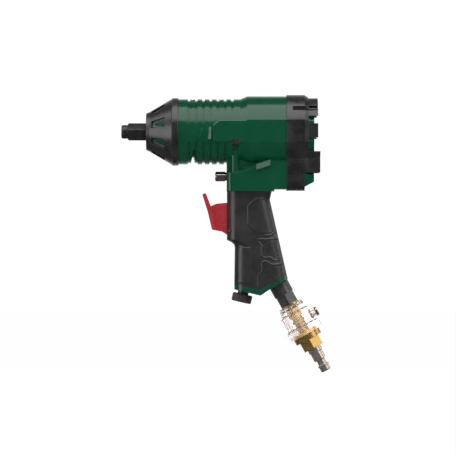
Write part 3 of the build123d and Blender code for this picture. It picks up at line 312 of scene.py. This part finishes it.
# Glass-filled nylon from a polished mould: even red, a soft gloss, faintly pale at its edges, partly wear
# and partly a painted highlight
TRIGGER_NYLON = Finish("moulded_red_nylon", "#920b1a", "#b83440", 0.34, specular=0.5, grain_mm=0.8,
                       grain_depth_mm=0.012, mottle=0.2, edge_mm=0.6, edge_share=0.6)
BLACK_NYLON = Finish("moulded_black_nylon", "#262323", "#524c4b", 0.40, grain_mm=0.6,
                     grain_depth_mm=0.02, mottle=0.25, edge_mm=0.3, edge_share=0.8)
BLACK_OXIDE = Finish("black_oxide_steel", "#353536", "#747474", 0.34, 0.55, grain=Grain.TURNED,
                     grain_mm=0.5, grain_depth_mm=0.01, lathe_tilt=-61, mottle=0.35, edge_share=0.7)
TURNED_BRASS = Finish("turned_free_cutting_brass", "#b58f48", "#dcc48c", 0.27, 0.88, grain=Grain.TURNED,
                      grain_mm=0.35, grain_depth_mm=0.006, lathe_tilt=-61, mottle=0.3, edge_share=0.6)
NICKEL_PLATE = Finish("nickel_plated_steel", "#bfb2a8", "#ddd5cd", 0.22, 0.9, grain=Grain.TURNED,
                      grain_mm=0.4, grain_depth_mm=0.003, lathe_tilt=-61, spread=0.04, mottle=0.3)
NITRILE = Finish("nitrile_rubber", "#151515", "#262626", 0.55, grain_mm=0.8, grain_depth_mm=0.01)
WOOL_FELT = Finish("pressed_wool_felt", "#8f8a7c", "#a8a394", 0.92, specular=0.2, grain=Grain.CAST,
                   grain_mm=0.5, grain_depth_mm=0.12, mottle_mm=4)
PHENOLIC = Finish("cotton_phenolic", "#5a3a20", "#7a5534", 0.55, grain=Grain.CAST, grain_mm=0.6,
                  grain_depth_mm=0.02)
GASKET_FIBRE = Finish("gasket_fibre", "#2a3a33", "#43544c", 0.8, grain=Grain.CAST, grain_mm=0.8,
                      grain_depth_mm=0.03)
# Clear polycarbonate: bright rims, a grey cast from the oil mist inside
CLEAR_BOWL = ClearFinish("clear_moulded_polycarbonate", "#f3ece8", 0.07, 1.58)

SLOT_FINISHES: dict[str, Finish | ClearFinish] = {
    "green_paint": GREEN_ENAMEL, "black_boot": BUMPER_RUBBER, "grip_rubber": GRIP_RUBBER,
    "phosphated_steel": PHOSPHATED_STEEL, "ground_steel": GROUND_STEEL,
    "hardened_steel": HARDENED_STEEL, "bearing_bronze": SINTERED_BRONZE,
    "chromed_steel": CHROMED_STEEL, "zinc_steel": ZINC_STEEL, "red_plastic": TRIGGER_NYLON,
    "black_plastic": BLACK_NYLON, "black_steel": BLACK_OXIDE, "brass": TURNED_BRASS,
    "clear_bowl": CLEAR_BOWL, "nickel_plate": NICKEL_PLATE, "seal_rubber": NITRILE,
    "felt": WOOL_FELT, "vane_composite": PHENOLIC, "gasket_paper": GASKET_FIBRE,
}


def dress_cad_nodes(frame: dict[str, Any]) -> None:
    """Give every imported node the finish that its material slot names.
    """
    slots = {part["node"]: part["material_slot"] for part in frame["record"]["subparts"]}
    for node_name, node in frame["nodes"].items():
        material = SLOT_FINISHES[slots[node_name]].material()
        if not node.data.materials:
            node.data.materials.append(material)
        for slot in node.material_slots:
            slot.material = material
        LOG.info("node %s: %s", node_name, material.name)


# ------------------------------------------------------------------ mesh helpers


def new_piece(name: str, vertices: Sequence[Sequence[float]], faces: Sequence[Sequence[int]],
              finish: Finish | ClearFinish) -> bpy.types.Object:
    """Make a mesh object from vertices in millimetres.

    Args:
        name: the piece's name.
        vertices: its points, in millimetres.
        faces: its faces, as numbers of vertices.
        finish: what it is made of.

    Returns:
        The object, at the origin, with its faces pointing outwards.
    """
    mesh = bpy.data.meshes.new(name)
    mesh.from_pydata([[mm(c) for c in v] for v in vertices], [], [list(f) for f in faces])
    shape = bmesh.new()
    shape.from_mesh(mesh)
    bmesh.ops.remove_doubles(shape, verts=shape.verts, dist=mm(MERGE_DISTANCE))
    bmesh.ops.recalc_face_normals(shape, faces=shape.faces)
    shape.to_mesh(mesh)
    shape.free()
    piece = bpy.data.objects.new(name, mesh)
    bpy.context.scene.collection.objects.link(piece)
    mesh.materials.append(finish.material())
    return piece


def baked(piece: bpy.types.Object, name: str) -> bpy.types.Object:
    """Turn a piece with modifiers into a plain mesh piece.

    Args:
        piece: the object with modifiers, which is removed.
        name: the new piece's name.

    Returns:
        A new object with the finished mesh.
    """
    graph = bpy.context.evaluated_depsgraph_get()
    mesh = bpy.data.meshes.new_from_object(piece.evaluated_get(graph))
    mesh.name = name
    made = bpy.data.objects.new(name, mesh)
    bpy.context.scene.collection.objects.link(made)
    bpy.data.objects.remove(piece)
    return made


def shade(piece: bpy.types.Object, angle: float) -> None:
    """Smooth a piece's shading, but for edges sharper than an angle in degrees."""
    piece.data.shade_smooth()
    piece.data.set_sharp_from_angle(angle=math.radians(angle))


def node_group(name: str, inputs: dict[str, tuple[str, Any]]) -> tuple[bpy.types.NodeTree, bpy.types.Node]:
    """Start a Geometry Nodes tree with named inputs.

    Args:
        name: the tree's name.
        inputs: the name of each input to its socket type and start value, or None.

    Returns:
        The tree and its Group Input node.
    """
    tree = bpy.data.node_groups.new(name, "GeometryNodeTree")
    tree.interface.new_socket("Geometry", in_out="INPUT", socket_type="NodeSocketGeometry")
    for label, (kind, start) in inputs.items():
        socket = tree.interface.new_socket(label, in_out="INPUT", socket_type=kind)
        if start is not None:
            socket.default_value = start
    tree.interface.new_socket("Geometry", in_out="OUTPUT", socket_type="NodeSocketGeometry")
    return tree, add_node(tree, "NodeGroupInput")


def use_group(piece: bpy.types.Object, tree: bpy.types.NodeTree, values: dict[str, Any]) -> None:
    """Put a Geometry Nodes tree on a piece and set its inputs.

    Args:
        piece: the object that gets the modifier.
        tree: the Geometry Nodes tree.
        values: input name to value.
    """
    modifier = piece.modifiers.new(tree.name, "NODES")
    modifier.node_group = tree
    identifiers = {item.name: item.identifier for item in tree.interface.items_tree
                   if item.in_out == "INPUT"}
    for label, value in values.items():
        modifier[identifiers[label]] = value


# ------------------------------------------------------------------ grip


@dataclass
class GripSleeve:
    """The rubber sleeve over the handle, with its thumb pad, beads, front panel and studs."""

    handle_x: float = 100.1
    top_z: float = -56.6
    wall: float = 2.95
    corner: float = 12.0
    # Depth under the casing, front edge, rear edge and half width
    stations: tuple[tuple[float, float, float, float], ...] = (
        (0, 0, 42.6, 18.2), (8, 0, 40.8, 17.6), (46, 0, 49.4, 18.6), (48.2, 4.3, 49.9, 18.7),
        (50.6, 6.9, 50.5, 18.7), (53, 7.5, 51.0, 18.8), (86.5, 7.0, 58.6, 19.5), (104, 7.0, 62.8, 19.8),
    )
    # Lower edge: places behind the handle's front, and heights
    foot: tuple[Point2, ...] = ((-5, -142.35), (31.8, -150.84), (41.3, -144.5), (80, -123.05))
    rows: int = 215
    inner_rows: int = 9
    settling_rounds: int = 6
    first_depth: float = 50.0
    flat_steps: int = 22
    side_steps: int = 58
    corner_steps: int = 34
    bead_height: float = 0.55
    bead_half_width: float = 0.75
    pad_height: float = 0.45
    panel_height: float = 0.5
    panel_fade: float = 0.6
    # The details fade out where the side turns into the rounded corner
    side_depth: float = 9.0
    side_fade: float = 2.0
    thumb_pad: tuple[Point2, ...] = (
        (120.2, -87.5), (120.2, -70.4), (127.0, -63.7), (135.0, -63.7), (139.0, -67.5),
        (144.6, -92.5), (141.1, -95.6), (127.8, -95.6),
    )
    beads: tuple[tuple[Point2, ...], ...] = (
        ((136.3, -98.2), (141.1, -98.2), (145.5, -94.6)),
        ((148.0, -101.5), (129.7, -102.2), (129.7, -104.6), (133.0, -107.6), (133.0, -117.9),
         (136.3, -119.3), (141.1, -118.9), (144.4, -121.7), (150.0, -121.7)),
        ((152.0, -125.5), (143.0, -126.0), (138.2, -123.1), (133.5, -123.1), (133.5, -132.1),
         (129.7, -135.9), (129.7, -146.8)),
    )
    front_panel: tuple[Point2, Point2] = ((110.2, -109.4), (122.8, -143.6))
    stud_pitch: float = 1.75
    stud_width: float = 1.15
    stud_height: float = 0.38
    stud_fields: tuple[tuple[Point2, ...], ...] = (
        ((131.3, -103.6), (147.5, -103.2), (150.6, -120.2), (145.0, -120.2), (141.7, -117.3),
         (134.6, -117.6), (134.6, -106.9), (131.3, -104.2)),
        ((135.1, -124.6), (137.8, -124.6), (142.6, -127.5), (152.4, -127.1), (155.6, -138.0),
         (140.8, -146.3), (131.3, -148.0), (131.3, -136.5), (135.1, -132.7)),
    )
    slot: tuple[float, float, float] = (12.2, 7.0, 16.8)
    slot_z: float = -82.4
    pivot: Point2 = (103.4, -93.9)
    pin_radius: float = 1.3
    pin_sides: int = 24
    pin_half_length: float = 30.0
    slot_overrun: float = 8.0
    stud_reach: float = 1.0
    sharp_angle: float = 50.0

    def size_at(self, depth: float | np.ndarray) -> tuple[np.ndarray, np.ndarray, np.ndarray]:
        """Give the front edge, rear edge and half width at a depth under the casing."""
        depths, fronts, rears, halves = (np.array(column) for column in zip(*self.stations))
        return tuple(np.interp(depth, depths, values) for values in (fronts, rears, halves))

    def ring(self, depth: np.ndarray, inset: float) -> tuple[np.ndarray, np.ndarray]:
        """Give the outline of the sleeve at one depth for each of its points.

        Args:
            depth: the depth of each point under the casing.
            inset: how far the outline lies inside the outer surface.

        Returns:
            The X and Y of each point, going once round from the front.
        """
        front, rear, half = self.size_at(depth)
        radius = self.corner - inset
        corners = ((front, -1, -1), (rear, 1, -1), (rear, 1, 1), (front, -1, 1))
        x, y = [], []
        sides = (self.side_steps, self.flat_steps, self.side_steps, self.flat_steps)
        turns = (180, 270, 0, 90)
        start = 0
        for (edge, out_x, out_y), steps, turn in zip(corners, sides, turns):
            count = self.corner_steps
            at = slice(start, start + count)
            angle = np.radians(turn + 90 * np.arange(count) / count)
            centre_x = edge[at] - out_x * self.corner
            centre_y = out_y * (half[at] - self.corner)
            x.append(centre_x + radius * np.cos(angle))
            y.append(centre_y + radius * np.sin(angle))
            start += count
            at = slice(start, start + steps)
            share = np.arange(steps) / steps
            low, high = front[at] + self.corner, rear[at] - self.corner
            flat = half[at] - self.corner
            if turn == 180:
                x.append(low + (high - low) * share)
                y.append(-half[at] + inset)
            elif turn == 270:
                x.append(rear[at] - inset + 0 * share)
                y.append(-flat + 2 * flat * share)
            elif turn == 0:
                x.append(high - (high - low) * share)
                y.append(half[at] - inset)
            else:
                x.append(front[at] + inset + 0 * share)
                y.append(flat - 2 * flat * share)
            start += steps
        return self.handle_x + np.concatenate(x), np.concatenate(y)

    @property
    def columns(self) -> int:
        """Number of points once round the sleeve."""
        return 4 * self.corner_steps + 2 * (self.side_steps + self.flat_steps)

    def wall_points(self, rows: int, inset: float) -> np.ndarray:
        """Lay points over one wall of the sleeve, from the casing down to the slanted foot.

        Args:
            rows: number of rings.
            inset: how far the wall lies inside the outer surface.

        Returns:
            An array of rows by columns by 3.
        """
        foot_x, foot_z = zip(*self.foot)
        points = np.zeros((rows, self.columns, 3))
        for row in range(rows):
            share = row / (rows - 1)
            depth = np.full(self.columns, self.first_depth * share)
            # A point's depth sets where it lies, and that sets how deep the foot is under it
            for _ in range(self.settling_rounds):
                x, y = self.ring(depth, inset)
                depth = share * (self.top_z - np.interp(x - self.handle_x, foot_x, foot_z))
            points[row] = np.stack([x, y, self.top_z - depth], axis=1)
        return points

    def relief(self, points: np.ndarray) -> np.ndarray:
        """Work out how far the moulded details raise each point of the outer wall.

        Args:
            points: points on the wall, in rows and columns.

        Returns:
            A height for each point.
        """
        x, y, z = points[..., 0], points[..., 1], points[..., 2]
        _, _, half = self.size_at(self.top_z - z)
        on_side = np.clip((np.abs(y) - (half - self.side_depth)) / self.side_fade, 0, 1)
        lines = [(*self.thumb_pad, self.thumb_pad[0]), *self.beads]
        nearest = np.full(x.shape, 1e9)
        for line in lines:
            for start, end in zip(line, line[1:]):
                nearest = np.minimum(nearest, distance_to_line(x, z, start, end))
        bead = self.bead_height * np.sqrt(np.clip(1 - (nearest / self.bead_half_width) ** 2, 0, 1))
        pad = self.pad_height * inside(x, z, self.thumb_pad)
        (left, top), (right, bottom) = self.front_panel
        edge = np.minimum.reduce([x - left, right - x, top - z, z - bottom])
        panel = self.panel_height * np.clip(edge / self.panel_fade, 0, 1)
        return np.maximum(np.maximum(bead, pad), panel) * on_side

    def build(self) -> list[bpy.types.Object]:
        """Build the sleeve and its studs.

        Returns:
            The pieces, placed and finished.
        """
        outer = self.wall_points(self.rows, 0.0)
        normals = grid_normals(outer)
        outer += normals * self.relief(outer)[..., None]
        inner = self.wall_points(self.inner_rows, self.wall)
        columns = self.columns
        vertices = np.concatenate([outer.reshape(-1, 3), inner.reshape(-1, 3)])
        first_inner = self.rows * columns
        faces: list[tuple[int, int, int, int]] = []
        for first, rows, turned in ((0, self.rows, False), (first_inner, self.inner_rows, True)):
            for row in range(rows - 1):
                for column in range(columns):
                    after = (column + 1) % columns
                    a, b = first + row * columns + column, first + row * columns + after
                    quad = (a, b, b + columns, a + columns)
                    faces.append(quad[::-1] if turned else quad)
        for outer_row, inner_row in ((0, 0), (self.rows - 1, self.inner_rows - 1)):
            for column in range(columns):
                after = (column + 1) % columns
                a, b = outer_row * columns + column, outer_row * columns + after
                c, d = (first_inner + inner_row * columns + k for k in (after, column))
                faces.append((a, b, c, d))
        sleeve = new_piece("grip_sleeve_draft", vertices.tolist(), faces, GRIP_RUBBER)
        for cutter in self.cutters():
            cut = sleeve.modifiers.new("opening", "BOOLEAN")
            cut.operation, cut.solver, cut.object = "DIFFERENCE", "EXACT", cutter
        sleeve = baked(sleeve, "rubber_grip_sleeve")
        for name in ("trigger_opening", "pin_opening"):
            bpy.data.objects.remove(bpy.data.objects[name])
        shade(sleeve, self.sharp_angle)
        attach(sleeve, CASING)
        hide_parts("grip_sleeve")
        return [sleeve, self.studs(outer, normals)]

    def cutters(self) -> list[bpy.types.Object]:
        """Make the shapes that open the sleeve for the trigger and its pin."""
        depth, half_y, half_z = self.slot
        low = (self.handle_x - self.slot_overrun, -half_y, self.slot_z - half_z)
        high = (self.handle_x + depth, half_y, self.slot_z + half_z)
        box = [(x, y, z) for x in (low[0], high[0]) for y in (low[1], high[1]) for z in (low[2], high[2])]
        sides = [(0, 1, 3, 2), (4, 6, 7, 5), (0, 4, 5, 1), (2, 3, 7, 6), (0, 2, 6, 4), (1, 5, 7, 3)]
        opening = new_piece("trigger_opening", box, sides, GRIP_RUBBER)
        steps = self.pin_sides
        rim = [(self.pivot[0] + self.pin_radius * math.cos(math.tau * k / steps), y,
                self.pivot[1] + self.pin_radius * math.sin(math.tau * k / steps))
               for y in (-self.pin_half_length, self.pin_half_length) for k in range(steps)]
        walls = [(k, (k + 1) % steps, steps + (k + 1) % steps, steps + k) for k in range(steps)]
        ends = [tuple(range(steps)), tuple(range(2 * steps - 1, steps - 1, -1))]
        pin = new_piece("pin_opening", rim, walls + ends, GRIP_RUBBER)
        return [opening, pin]

    def studs(self, outer: np.ndarray, normals: np.ndarray) -> bpy.types.Object:
        """Cover the two stud fields on each side with small square studs, by Geometry Nodes.

        Args:
            outer: the points of the sleeve's outer wall.
            normals: the wall's outward direction at those points.

        Returns:
            The studs as one piece.
        """
        seats, directions = [], []
        for field_outline in self.stud_fields:
            xs = [p[0] for p in field_outline]
            zs = [p[1] for p in field_outline]
            for x in np.arange(min(xs), max(xs), self.stud_pitch):
                for z in np.arange(min(zs), max(zs), self.stud_pitch):
                    if not inside(np.array([x]), np.array([z]), field_outline)[0]:
                        continue
                    for side in (-1, 1):
                        gap = (outer[..., 0] - x) ** 2 + (outer[..., 2] - z) ** 2
                        gap = np.where(outer[..., 1] * side > 0, gap, 1e9)
                        row, column = np.unravel_index(int(gap.argmin()), gap.shape)
                        if gap[row, column] > self.stud_reach:
                            continue
                        seats.append((x, outer[row, column, 1], z))
                        directions.append(normals[row, column])
        carrier = new_piece("stud_seats", seats, [], GRIP_RUBBER)
        # The seats go in again unmerged, so that each keeps the lean that goes with it
        carrier.data.clear_geometry()
        carrier.data.from_pydata([[mm(c) for c in seat] for seat in seats], [], [])
        lean = carrier.data.attributes.new("lean", "FLOAT_VECTOR", "POINT")
        lean.data.foreach_set("vector", np.array(directions, np.float32).ravel())
        use_group(carrier, stud_tree(), {
            "Width": mm(self.stud_width), "Height": mm(self.stud_height), "Finish": GRIP_RUBBER.material(),
        })
        studs = baked(carrier, "grip_studs")
        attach(studs, CASING)
        return studs


def distance_to_line(x: np.ndarray, z: np.ndarray, start: Point2, end: Point2) -> np.ndarray:
    """Give each point's distance to a straight line between two points, seen from the side."""
    run, rise = end[0] - start[0], end[1] - start[1]
    share = np.clip(((x - start[0]) * run + (z - start[1]) * rise) / (run**2 + rise**2), 0, 1)
    return np.hypot(x - start[0] - share * run, z - start[1] - share * rise)


def inside(x: np.ndarray, z: np.ndarray, outline: Sequence[Point2]) -> np.ndarray:
    """Say which points lie inside a closed outline, seen from the side."""
    found = np.zeros(x.shape, bool)
    for (x1, z1), (x2, z2) in zip(outline, (*outline[1:], outline[0])):
        if z1 == z2:
            continue
        crosses = (z1 > z) != (z2 > z)
        found ^= crosses & (x < (x2 - x1) * (z - z1) / (z2 - z1) + x1)
    return found


def grid_normals(points: np.ndarray) -> np.ndarray:
    """Give the outward direction at each point of a wall that closes once round."""
    along = np.gradient(points, axis=0)
    around = np.roll(points, -1, axis=1) - np.roll(points, 1, axis=1)
    normals = np.cross(along, around)
    normals /= np.linalg.norm(normals, axis=2, keepdims=True) + 1e-12
    outward = points[..., :2] - points[..., :2].mean(axis=1, keepdims=True)
    facing = np.sign((normals[..., :2] * outward).sum(axis=2, keepdims=True))
    return normals * facing


# Half a square's diagonal as a share of its side, and a stud's top as a share of its foot
HALF_DIAGONAL = 0.7071
STUD_TAPER = 0.62


def stud_tree() -> bpy.types.NodeTree:
    """Build the tree that sets a low square stud on each point, leaning with the surface."""
    tree, given = node_group("set_studs", {
        "Width": ("NodeSocketFloat", mm(1.0)), "Height": ("NodeSocketFloat", mm(0.4)),
        "Finish": ("NodeSocketMaterial", None),
    })
    spread = add_node(tree, "ShaderNodeMath", {0: given.outputs["Width"], 1: HALF_DIAGONAL},
                      operation="MULTIPLY")
    top = add_node(tree, "ShaderNodeMath", {0: spread.outputs["Value"], 1: STUD_TAPER},
                   operation="MULTIPLY")
    tall = add_node(tree, "ShaderNodeMath", {0: given.outputs["Height"], 1: 2.0}, operation="MULTIPLY")
    stud = add_node(tree, "GeometryNodeMeshCone", {
        "Vertices": 4, "Radius Top": top.outputs["Value"], "Radius Bottom": spread.outputs["Value"],
        "Depth": tall.outputs["Value"],
    })
    sink = add_node(tree, "ShaderNodeMath", {0: given.outputs["Height"], 1: -1.0}, operation="MULTIPLY")
    offset = add_node(tree, "ShaderNodeCombineXYZ", {"Z": sink.outputs["Value"]})
    turned = add_node(tree, "GeometryNodeTransform", {
        "Geometry": stud.outputs["Mesh"], "Translation": offset.outputs["Vector"],
        "Rotation": (0.0, 0.0, math.radians(45)),
    })
    lean = add_node(tree, "GeometryNodeInputNamedAttribute", {"Name": "lean"}, data_type="FLOAT_VECTOR")
    align = add_node(tree, "FunctionNodeAlignRotationToVector", {"Vector": lean.outputs["Attribute"]},
                     axis="Z")
    spots = add_node(tree, "GeometryNodeInstanceOnPoints", {
        "Points": given.outputs["Geometry"], "Instance": turned.outputs["Geometry"],
        "Rotation": align.outputs["Rotation"],
    })
    return finish_tree(tree, spots.outputs["Instances"], given)


def finish_tree(tree: bpy.types.NodeTree, instances: bpy.types.NodeSocket,
                given: bpy.types.Node) -> bpy.types.NodeTree:
    """End a tree with Realize Instances, Set Material and its output."""
    real = add_node(tree, "GeometryNodeRealizeInstances", {"Geometry": instances})
    dressed = add_node(tree, "GeometryNodeSetMaterial", {
        "Geometry": real.outputs["Geometry"], "Material": given.outputs["Finish"],
    })
    add_node(tree, "NodeGroupOutput", {"Geometry": dressed.outputs["Geometry"]})
    return tree


# ------------------------------------------------------------------ oiler


@dataclass
class OilerThread:
    """The fine thread that shows on the brass tube inside the clear bowl."""

    start: tuple[float, float, float] = (149.15, 0.0, -144.504)
    tilt: float = 29.0
    first: float = 37.2
    last: float = 52.4
    pitch: float = 1.25
    radius: float = 5.25
    ridge: float = 0.42
    sharp_angle: float = 60.0

    def build(self) -> list[bpy.types.Object]:
        """Build the ridges by Geometry Nodes.

        Returns:
            The ridges as one piece.
        """
        axis = Vector((math.sin(math.radians(self.tilt)), 0.0, -math.cos(math.radians(self.tilt))))
        ends = [Vector(self.start) + axis * t for t in (self.first, self.last)]
        count = round((self.last - self.first) / self.pitch) + 1
        carrier = new_piece("thread_line", [tuple(p) for p in ends], [], TURNED_BRASS)
        use_group(carrier, ridge_tree(), {
            "Start": tuple(mm(c) for c in ends[0]), "End": tuple(mm(c) for c in ends[1]),
            "Count": count, "Radius": mm(self.radius), "Ridge": mm(self.ridge),
            "Finish": TURNED_BRASS.material(),
        })
        ridges = baked(carrier, "oiler_tube_thread")
        shade(ridges, self.sharp_angle)
        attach(ridges, CASING)
        return [ridges]


def ridge_tree() -> bpy.types.NodeTree:
    """Build the tree that repeats a ring along a straight line."""
    tree, given = node_group("repeat_ridges", {
        "Start": ("NodeSocketVector", None), "End": ("NodeSocketVector", None),
        "Count": ("NodeSocketInt", 8), "Radius": ("NodeSocketFloat", mm(5)),
        "Ridge": ("NodeSocketFloat", mm(0.4)), "Finish": ("NodeSocketMaterial", None),
    })
    line = add_node(tree, "GeometryNodeCurvePrimitiveLine", {
        "Start": given.outputs["Start"], "End": given.outputs["End"],
    })
    points = add_node(tree, "GeometryNodeCurveToPoints", {
        "Curve": line.outputs["Curve"], "Count": given.outputs["Count"],
    })
    circle = add_node(tree, "GeometryNodeCurvePrimitiveCircle", {
        "Resolution": 40, "Radius": given.outputs["Radius"],
    })
    section = add_node(tree, "GeometryNodeCurvePrimitiveCircle", {
        "Resolution": 8, "Radius": given.outputs["Ridge"],
    })
    ring = add_node(tree, "GeometryNodeCurveToMesh", {
        "Curve": circle.outputs["Curve"], "Profile Curve": section.outputs["Curve"],
    })
    spots = add_node(tree, "GeometryNodeInstanceOnPoints", {
        "Points": points.outputs["Points"], "Instance": ring.outputs["Mesh"],
        "Rotation": points.outputs["Rotation"],
    })
    return finish_tree(tree, spots.outputs["Instances"], given)


# ------------------------------------------------------------------ studio


@dataclass(frozen=True)
class Softbox:
    """One softbox: its centre and its width and height in metres, and how bright its face is."""

    name: str
    place: tuple[float, float, float]
    size: Point2
    radiance: float
    mirrored: bool = True

    def hang(self, target: Vector) -> None:
        """Hang the softbox so that it faces a point, in metres."""
        light = bpy.data.lights.new(self.name, "AREA")
        light.shape, light.size, light.size_y = "RECTANGLE", *self.size
        light.energy = self.radiance * math.pi * self.size[0] * self.size[1]
        lamp = bpy.data.objects.new(self.name, light)
        bpy.context.scene.collection.objects.link(lamp)
        lamp.visible_glossy = self.mirrored
        lamp.location = self.place
        lamp.rotation_euler = (target - Vector(self.place)).to_track_quat("-Z", "Y").to_euler()


SOFTBOXES = (
    # Long softbox over the tool and a little in front of it
    Softbox("key_softbox", (0.10, -0.315, 0.725), (2.2, 0.864), 2.6),
    # Softbox beyond the nose, which the cone and the front of the grip mirror
    Softbox("nose_softbox", (-0.95, -0.52, -0.02), (0.55, 0.7), 3.0),
    # Wide fills that light the sides but aren't mirrored in them
    Softbox("side_fill", (0.3, -1.5, 0.25), (1.6, 1.6), 1.9, mirrored=False),
    Softbox("far_side_fill", (0.3, 1.5, 0.25), (1.6, 1.6), 2.2, mirrored=False),
    Softbox("back_softbox", (1.2, 0.35, 0.35), (0.7, 0.7), 1.6),
    # Softbox beyond the tail, mirrored by the right-hand sides of the leaning inlet parts
    Softbox("tail_softbox", (0.95, -0.62, 0.40), (0.6, 0.6), 2.2),
)


@dataclass
class Studio:
    """The floor, the lights and the camera: a plain white studio with one long overhead softbox."""

    camera_x: float = 101.2
    camera_z: float = -91.3
    camera_distance: float = 3000.0
    view_width: float = 433.2
    floor_z: float = -300.0
    floor_half: float = 5000.0
    floor_glow: float = 0.99
    backdrop: float = 1.05
    ambient: float = 0.085
    wall: float = 0.9
    # How squarely a direction points across the tool where the far wall starts and where it is full
    wall_starts: float = 0.7
    wall_full: float = 0.95
    light_target: tuple[float, float, float] = (0.10, 0.0, 0.0)
    sensor_width: float = 36.0
    sight: float = 20.0

    def build(self) -> None:
        """Build the studio."""
        bpy.context.scene.view_settings.view_transform = "Standard"
        self.floor()
        self.world()
        for box in SOFTBOXES:
            box.hang(Vector(self.light_target))
        self.camera()

    def floor(self) -> None:
        """Lay the pale floor."""
        h, z = self.floor_half, self.floor_z
        paper = Finish("pale_studio_paper", "#f4f4f3", "#ffffff", 0.9, specular=0.1, grain_mm=2.0,
                       grain_depth_mm=0.01, edge_share=0.0)
        floor = new_piece("studio_floor", [(-h, -h, z), (h, -h, z), (h, h, z), (-h, h, z)],
                          [(0, 1, 2, 3)], paper)
        self.whiten(floor.data.materials[0].node_tree)
        floor.visible_glossy = False

    def whiten(self, tree: bpy.types.NodeTree) -> None:
        """Make the floor nearly white to the camera alone, so that it throws no extra light.

        Args:
            tree: the node tree of the floor's material.
        """
        output = tree.nodes["Material Output"]
        paper = output.inputs["Surface"].links[0].from_socket
        path = add_node(tree, "ShaderNodeLightPath")
        seen = add_node(tree, "ShaderNodeMath", {
            0: path.outputs["Is Camera Ray"], 1: self.floor_glow,
        }, operation="MULTIPLY")
        glow = add_node(tree, "ShaderNodeEmission", {"Color": linear("#ffffff"), "Strength": 1.0})
        lit = add_node(tree, "ShaderNodeMixShader", {
            0: seen.outputs["Value"], 1: paper, 2: glow.outputs["Emission"],
        })
        tree.links.new(lit.outputs["Shader"], output.inputs["Surface"])

    def world(self) -> None:
        """Make a white backdrop for what the camera sees, and a dimmer room for the light."""
        world = bpy.data.worlds.new("studio_room")
        world.use_nodes = True
        bpy.context.scene.world = world
        tree = world.node_tree
        tree.nodes.clear()
        path = add_node(tree, "ShaderNodeLightPath")
        seen = add_node(tree, "ShaderNodeMath", {
            0: path.outputs["Is Camera Ray"], 1: path.outputs["Is Transmission Ray"],
        }, operation="MAXIMUM")
        # The room's far wall is white, so that the tool's outline picks up a pale rim
        direction = add_node(tree, "ShaderNodeTexCoord").outputs["Generated"]
        split = add_node(tree, "ShaderNodeSeparateXYZ", {"Vector": direction})
        strength = add_node(tree, "ShaderNodeMapRange", {
            "Value": split.outputs["Y"], "From Min": self.wall_starts, "From Max": self.wall_full,
            "To Min": self.ambient, "To Max": self.wall,
        })
        room = add_node(tree, "ShaderNodeBackground", {
            "Color": linear("#ffffff"), "Strength": strength.outputs["Result"],
        })
        backdrop = add_node(tree, "ShaderNodeBackground", {"Color": linear("#ffffff"),
                                                           "Strength": self.backdrop})
        both = add_node(tree, "ShaderNodeMixShader", {
            0: seen.outputs["Value"], 1: room.outputs["Background"], 2: backdrop.outputs["Background"],
        })
        add_node(tree, "ShaderNodeOutputWorld", {"Surface": both.outputs["Shader"]})

    def camera(self) -> None:
        """Place the camera square to the tool's side."""
        data = bpy.data.cameras.new("side_camera")
        data.sensor_width = self.sensor_width
        data.lens = data.sensor_width * self.camera_distance / self.view_width
        camera = bpy.data.objects.new("side_camera", data)
        bpy.context.scene.collection.objects.link(camera)
        camera.location = (mm(self.camera_x), mm(-self.camera_distance), mm(self.camera_z))
        camera.rotation_euler = (math.radians(90), 0.0, 0.0)
        data.clip_end = self.sight
        bpy.context.scene.camera = camera


# ------------------------------------------------------------------ main


def corners(box: tuple[Vector, Vector]) -> list[list[float]]:
    """Turn a box's two corners to plain lists."""
    return [[float(c) for c in corner] for corner in box]


def main() -> None:
    """Build the looks round the frame, sub-assembly by sub-assembly."""
    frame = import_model()
    dress_cad_nodes(frame)
    for assembly in (GripSleeve(), OilerThread()):
        for piece in assembly.build():
            LOG.info("piece %s: %d faces", piece.name, len(piece.data.polygons))
    Studio().build()


if __name__ == "__main__":
    logging.basicConfig(level=logging.INFO, format="%(message)s")
    main()
